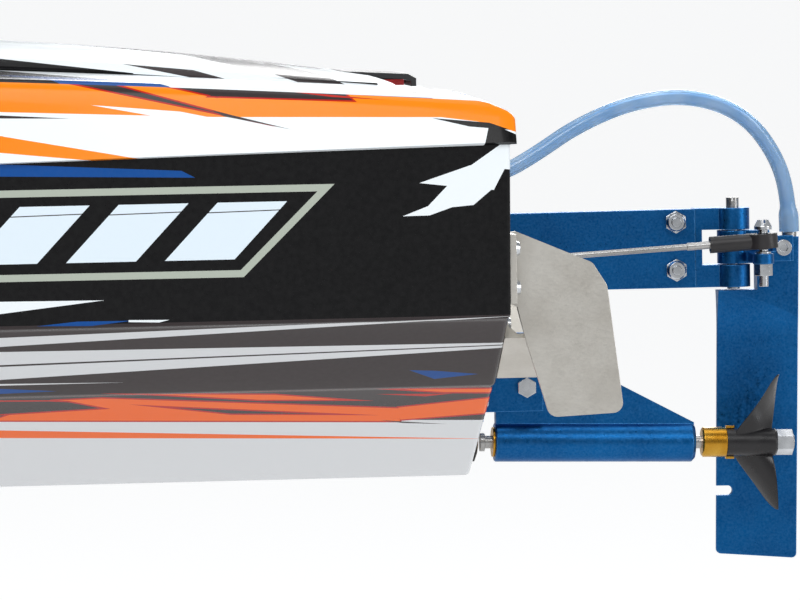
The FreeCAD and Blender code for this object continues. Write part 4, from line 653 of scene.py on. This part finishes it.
def rounded(corners, radius):
    """Round the inner corners of a section and split its flats, with a fixed count."""
    ring = []
    start = corners[0]
    for before, here, after in zip(corners, corners[1:], corners[2:]):
        back, ahead = before - here, after - here
        reach = min(radius, CORNER_SHARE * back.length, CORNER_SHARE * ahead.length)
        enter = here + back.normalized() * reach if back.length > TINY else here
        leave = here + ahead.normalized() * reach if ahead.length > TINY else here
        ring += [start.lerp(enter, i / SPAN_STEPS) for i in range(SPAN_STEPS)]
        ring += [bezier((enter, here, leave), i / CORNER_STEPS) for i in range(CORNER_STEPS)]
        start = leave
    return ring + [start.lerp(corners[-1], i / SPAN_STEPS) for i in range(SPAN_STEPS + 1)]


def drawn_in(ring, amount, station):
    """Copy a section at another station, drawn in square to its own outline."""
    moved = []
    last = len(ring) - 1
    for i, spot in enumerate(ring):
        way = ring[min(i + 1, last)] - ring[max(i - 1, 0)]
        normal = Vector((0, way.z, -way.y)).normalized()
        moved.append(Vector((station, spot.y + normal.y * amount, spot.z + normal.z * amount)))
    return moved


def starboard(half):
    """The starboard half of a section, in the order of its port half."""
    return [Vector((p.x, -p.y, p.z)) for p in half]


def bevelled(spot):
    """Lower a point of the deck to its aft bevel, with a soft edge between the two."""
    plane = BEVEL_FOOT_MM + (spot.x - BEVEL_START_MM) * BEVEL_SLOPE
    near = max(BEVEL_SOFT_MM - abs(spot.z - plane), 0) / BEVEL_SOFT_MM
    height = min(spot.z, plane) - near ** 2 * BEVEL_SOFT_MM / 4
    return Vector((spot.x, spot.y, height))


def shell_rings(lines, radius, stern, is_deck=False):
    """Sections of a shell from its rounded stern edge to the stem, port to starboard."""
    rings = []
    for station in zip(*(along(line) for line in lines)):
        half = list(station)
        ring = rounded(half[::-1] + starboard(half)[1:], radius)
        rings.append([bevelled(p) for p in ring] if is_deck else ring)
    stern_long, stern_deep = stern
    start = min(p.x for p in rings[0])
    inner = start + stern_long
    base = [p.copy() for p in rings[0]]
    slope = [(b - a) / max((b - a).x, TINY) for a, b in zip(rings[0], rings[1])]
    rings = [r for r in rings[1:] if min(p.x for p in r) > inner]
    sign = -1 if is_deck else 1
    for i in range(STERN_STEPS + 1):
        turn = math.pi / 2 * i / STERN_STEPS
        station = inner - stern_long * math.sin(turn)
        ring = [p + s * (station - start) for p, s in zip(base, slope)]
        rings.insert(0, drawn_in(ring, sign * stern_deep * (1 - math.cos(turn)), station))
    return rings


def loft(name, rings, wall, paint, inside):
    """Skin a run of sections, close its stern and give it a wall with a plain inside."""
    mesh = bmesh.new()
    grid = [[mesh.verts.new(p * MM) for p in ring] for ring in rings]
    for low, high in zip(grid, grid[1:]):
        for i in range(len(low) - 1):
            mesh.faces.new((low[i], low[i + 1], high[i + 1], high[i]))
    mesh.faces.new(grid[0])
    bmesh.ops.remove_doubles(mesh, verts=mesh.verts, dist=MERGE_DISTANCE)
    bmesh.ops.dissolve_degenerate(mesh, dist=MERGE_DISTANCE, edges=mesh.edges)
    bmesh.ops.recalc_face_normals(mesh, faces=mesh.faces)
    data = bpy.data.meshes.new(name)
    mesh.to_mesh(data)
    mesh.free()
    data.materials.append(paint)
    data.materials.append(inside)
    piece = bpy.data.objects.new(name, data)
    bpy.context.scene.collection.objects.link(piece)
    solidify = piece.modifiers.new("wall", "SOLIDIFY")
    solidify.thickness = wall * MM
    solidify.offset = -1
    solidify.use_even_offset = True
    solidify.material_offset = 1
    return piece


def settle(piece):
    """Apply a piece's modifiers and shade it smooth across its soft edges."""
    view = bpy.context.evaluated_depsgraph_get()
    data = bpy.data.meshes.new_from_object(piece.evaluated_get(view))
    piece.modifiers.clear()
    piece.data = data
    data.shade_smooth()
    data.set_sharp_from_angle(angle=SHELL_EDGE)
    return piece


def prism(ring, low, high):
    """A closed upright block over a flat outline in millimetres, used as a cutter."""
    mesh = bmesh.new()
    foot = mesh.faces.new([mesh.verts.new((x * MM, y * MM, low * MM)) for x, y in ring])
    raised = bmesh.ops.extrude_face_region(mesh, geom=[foot])["geom"]
    bmesh.ops.translate(mesh, vec=(0, 0, (high - low) * MM),
                        verts=[v for v in raised if isinstance(v, bmesh.types.BMVert)])
    bmesh.ops.recalc_face_normals(mesh, faces=mesh.faces)
    data = bpy.data.meshes.new("cutter")
    mesh.to_mesh(data)
    mesh.free()
    cutter = bpy.data.objects.new("cutter", data)
    bpy.context.scene.collection.objects.link(cutter)
    return cutter


def opening_cutter():
    """Fill the deck's opening, which is the hatch's plan drawn in by a margin."""
    side = [(x, half - OPENING_MARGIN_MM) for x, half, *_ in HATCH_SECTIONS_MM]
    side[0] = (side[0][0] + 2 * OPENING_MARGIN_MM, side[0][1])
    side[-1] = (side[-1][0] - OPENING_MARGIN_MM, side[-1][1])
    return prism(side + [(x, -y) for x, y in reversed(side)], *OPENING_HEIGHTS_MM)


def cut_by(piece, cutter):
    """Take a cutter out of a piece and shade the piece again."""
    hole = piece.modifiers.new("hole", "BOOLEAN")
    hole.object = cutter
    hole.operation = "DIFFERENCE"
    hole.solver = "EXACT"
    settle(piece)
    bpy.data.objects.remove(cutter)


def smooth_value(places, values, at):
    """Catmull-Rom value through unevenly spaced places."""
    last = len(places) - 1
    i = max(0, min(last - 1, sum(1 for p in places if p <= at) - 1))
    t = (at - places[i]) / (places[i + 1] - places[i])

    def tangent(k):
        a, b = max(k - 1, 0), min(k + 1, last)
        return (values[b] - values[a]) / (places[b] - places[a])

    span = places[i + 1] - places[i]
    m0, m1 = tangent(i) * span, tangent(i + 1) * span
    a, b = values[i], values[i + 1]
    return ((2 * t ** 3 - 3 * t ** 2 + 1) * a + (t ** 3 - 2 * t ** 2 + t) * m0
            + (3 * t ** 2 - 2 * t ** 3) * b + (t ** 3 - t ** 2) * m1)


def quarter_drop(radius, share):
    """How far a quarter round has fallen at a share of its run."""
    return radius * (1 - math.sqrt(max(0.0, 1 - share * share)))


def crown_height(share, edge, knee, centre):
    """Height of the hatch's top at a share of its half width."""
    a = (knee - centre - (edge - centre) * KNEE ** 2) / (KNEE ** 4 - KNEE ** 2)
    b = (edge - centre) - a
    return centre + b * share ** 2 + a * share ** 4


def edge_round(top, radius):
    """Drop the outer points of a section in a quarter round."""
    half = max(p.y for p in top)
    soft = []
    for p in top:
        share = max(0.0, radius - (half - abs(p.y))) / radius
        soft.append(Vector((p.x, p.y, p.z - quarter_drop(radius, share))))
    return soft


def hatch_stations(first, last):
    """Stations along the hatch, close together in its rounded ends."""
    end = HATCH_END_MM
    turns = [math.sin(math.pi / 2 * i / HATCH_END_STEPS) for i in range(1, HATCH_END_STEPS + 1)]
    places = [first + end * (1 - turn) for turn in reversed(turns)]
    places += [first + end + (last - first - 2 * end) * i / HATCH_LONG_STEPS
               for i in range(HATCH_LONG_STEPS + 1)]
    return places + [last - end + end * turn for turn in turns]


def hatch_rings():
    """Sections of the hatch: a crowned top with rounded edges and a short skirt."""
    stations = [s[0] for s in HATCH_SECTIONS_MM]
    first, last = stations[0], stations[-1]
    rings = []
    for x in hatch_stations(first, last):
        half, edge, knee, centre = (
            smooth_value(stations, [s[k] for s in HATCH_SECTIONS_MM], x) for k in range(1, 5))
        share = max(0.0, HATCH_END_MM - min(x - first, last - x)) / HATCH_END_MM
        drop = quarter_drop(HATCH_END_MM, share)
        half -= drop
        top = []
        for i in range(HATCH_WIDE_STEPS + 1):
            y = half * (1 - 2 * i / HATCH_WIDE_STEPS)
            height = crown_height(min(1.0, abs(y) / half), edge, knee, centre)
            top.append(Vector((x, y, height - drop)))
        port = Vector((x, half, edge - drop - HATCH_SKIRT_MM))
        rings.append([port] + edge_round(top, HATCH_EDGE_MM) + starboard([port]))
    return rings


def build_bodywork():
    """Replace the hull, deck and hatch by smooth painted shells with rounded edges."""
    inside = moulded("shell_inside_look", linear(64, 64, 66), linear(84, 84, 87), 0.4, 0.6)
    rings = shell_rings(HULL_LINES_MM, HULL_CORNER_MM, HULL_STERN_MM)
    hull = settle(loft("hull_body", rings, HULL_WALL_MM, hull_livery(), inside))
    rings = shell_rings(DECK_LINES_MM, DECK_CORNER_MM, DECK_STERN_MM, is_deck=True)
    deck = settle(loft("deck_body", rings, DECK_WALL_MM, deck_livery(), inside))
    cut_by(deck, opening_cutter())
    hatch = settle(loft("hatch_body", hatch_rings(), HATCH_WALL_MM, hatch_livery(), inside))
    cut_by(hatch, prism(RECESS_MM, *RECESS_HEIGHTS_MM))
    for piece, body, node, slot in ((hull, "hull", "hull_shell", "hull_paint"),
                                    (deck, "hull", "deck_shell", "deck_paint"),
                                    (hatch, "hatch", "hatch_cover", "hatch_paint")):
        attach(piece, body)
        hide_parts(node)


# ---------------------------------------------------------------- cooling hose

# The hose's route from the transom fitting to the rudder's barb, in millimetres.
HOSE_ROUTE_MM = [
    (-3, -16, 91.3), (-13, -16.2, 92.7), (-23.5, -17, 98.2), (-38, -18.5, 107.6),
    (-56, -21, 114.6), (-75, -24, 116), (-92, -27.5, 109.5), (-102.3, -31, 96),
    (-106.3, -34, 82.5), (-106.3, -34, 72.3),
]
# Outer and inner radius, and how much both grow where the hose sleeves the barb, over this
# length of its end and with this soft a start.
HOSE_RADIUS, HOSE_BORE, HOSE_SWELL = 0.00245, 0.0016, 0.0007
SLEEVE_LENGTH, SLEEVE_SOFT = 0.0068, 0.0005
HOSE_SIDES = 28


def smooth_line(name, route):
    """Read points from a NURBS spline whose control points are the route's."""
    curve = bpy.data.curves.new(name, "CURVE")
    curve.dimensions = "3D"
    curve.resolution_u = 16
    spline = curve.splines.new("NURBS")
    spline.points.add(len(route) - 1)
    for point, place in zip(spline.points, route):
        point.co = (*(Vector(place) * MM), 1)
    spline.order_u = 3
    spline.use_endpoint_u = True
    holder = bpy.data.objects.new(name, curve)
    bpy.context.scene.collection.objects.link(holder)
    bpy.context.view_layer.update()
    line = bpy.data.meshes.new_from_object(holder)
    spots = [v.co.copy() for v in line.vertices]
    bpy.data.objects.remove(holder)
    bpy.data.meshes.remove(line)
    return spots


def run_lengths(spots):
    """Length of a line from its start to each of its points."""
    lengths = [0.0]
    for a, b in zip(spots, spots[1:]):
        lengths.append(lengths[-1] + (b - a).length)
    return lengths


def circle(spot, ahead, radius):
    """Points of a circle round a line, starting on its port side."""
    sideways = Vector((0, 1, 0))
    across = (sideways - ahead * sideways.dot(ahead)).normalized()
    other = ahead.cross(across)
    turns = [2 * math.pi * k / HOSE_SIDES for k in range(HOSE_SIDES)]
    return [spot + (across * math.cos(a) + other * math.sin(a)) * radius for a in turns]


def hose_mesh(spots, lengths):
    """Sweep an open tube along a line, swollen where it is pushed over the barb."""
    mesh = bmesh.new()
    outer, inner = [], []
    for i, spot in enumerate(spots):
        ahead = (spots[min(i + 1, len(spots) - 1)] - spots[max(i - 1, 0)]).normalized()
        left = lengths[-1] - lengths[i]
        swell = HOSE_SWELL / (1 + math.exp((left - SLEEVE_LENGTH) / SLEEVE_SOFT))
        for rings, radius in ((outer, HOSE_RADIUS + swell), (inner, HOSE_BORE + swell)):
            rings.append([mesh.verts.new(p) for p in circle(spot, ahead, radius)])
    walls = list(zip(outer, outer[1:])) + list(zip(inner, inner[1:]))
    for low, high in walls + [(outer[0], inner[0]), (outer[-1], inner[-1])]:
        for k in range(HOSE_SIDES):
            n = (k + 1) % HOSE_SIDES
            mesh.faces.new((low[k], low[n], high[n], high[k]))
    bmesh.ops.recalc_face_normals(mesh, faces=mesh.faces)
    data = bpy.data.meshes.new("water_hose")
    mesh.to_mesh(data)
    mesh.free()
    data.shade_smooth()
    data.set_sharp_from_angle(angle=HOSE_EDGE)
    return data


def build_hose():
    """Replace the cooling hose by a clear one that runs to the rudder's barb."""
    spots = smooth_line("hose_line", HOSE_ROUTE_MM)
    lengths = run_lengths(spots)
    data = hose_mesh(spots, lengths)
    hose = bpy.data.objects.new("water_hose", data)
    bpy.context.scene.collection.objects.link(hose)
    data.materials.append(clear_plastic("hose_look", linear(148, 196, 238),
                                        linear(198, 225, 250), 0.6, 0.08, 0.2))
    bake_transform(hose)
    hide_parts("cooling_hose")


# ---------------------------------------------------------------- finishes of the frame

def finishes():
    """Make one look for each material slot that the frame's own pieces use."""
    return {
        "blue_aluminium": anodised("blue_aluminium_look", linear(4, 78, 138),
                                   linear(6, 92, 156), linear(96, 164, 224)),
        "bright_steel": metal("bright_steel_look", linear(150, 149, 147),
                              linear(190, 189, 188), 0.22, 0.38, grain=(1, 9, 9)),
        "sheet_steel": metal("sheet_steel_look", linear(196, 192, 184),
                             linear(212, 209, 202), 0.34, 0.52, grain=(1, 1, 5),
                             fine=1100, cloud=90),
        "fastener_steel": metal("fastener_look", linear(176, 180, 184),
                                linear(226, 229, 233), 0.1, 0.24, fine=500, cloud=140),
        "bare_aluminium": metal("bare_aluminium_look", linear(176, 178, 182),
                                linear(206, 208, 211), 0.26, 0.4, grain=(8, 1, 1)),
        "brass": turned_metal("brass_look", linear(180, 126, 34), linear(222, 178, 78)),
        "black_plastic": moulded("black_plastic_look", linear(24, 23, 25), linear(38, 36, 38)),
        "prop_plastic": moulded("propeller_look", linear(15, 14, 17), linear(30, 28, 31),
                                0.24, 0.4, grain=1100, relief=0.12),
        "black_rubber": moulded("black_rubber_look", linear(26, 25, 25), linear(40, 38, 37),
                                0.55, 0.75, grain=900, relief=0.25),
        "motor_black": moulded("motor_black_look", linear(28, 28, 31), linear(44, 44, 48),
                               0.25, 0.36, grain=1800, relief=0.08),
        "battery_wrap": moulded("battery_wrap_look", linear(18, 34, 84), linear(34, 60, 130),
                                0.2, 0.36, grain=300, relief=0.2),
        "red_plastic": clear_plastic("red_plastic_look", linear(214, 10, 18),
                                     linear(250, 40, 40), 0.12, 0.04, 0.12),
        "strap_web": woven("strap_web_look", linear(14, 14, 15), linear(46, 46, 49)),
        "grey_foam": foam("grey_foam_look", linear(170, 170, 168), linear(216, 216, 213)),
    }


def finish_frame():
    """Give every carried-over piece of the frame its slot's look."""
    slots = {part["node"]: part["material_slot"] for part in frame["record"]["subparts"]}
    looks = finishes()
    for name, piece in nodes.items():
        if piece.hide_render:
            continue
        look = looks[slots[name]]
        for entry in piece.material_slots:
            entry.material = look
        if not piece.material_slots:
            piece.data.materials.append(look)


add_camera()
build_hose()
build_bodywork()
finish_frame()
add_studio()
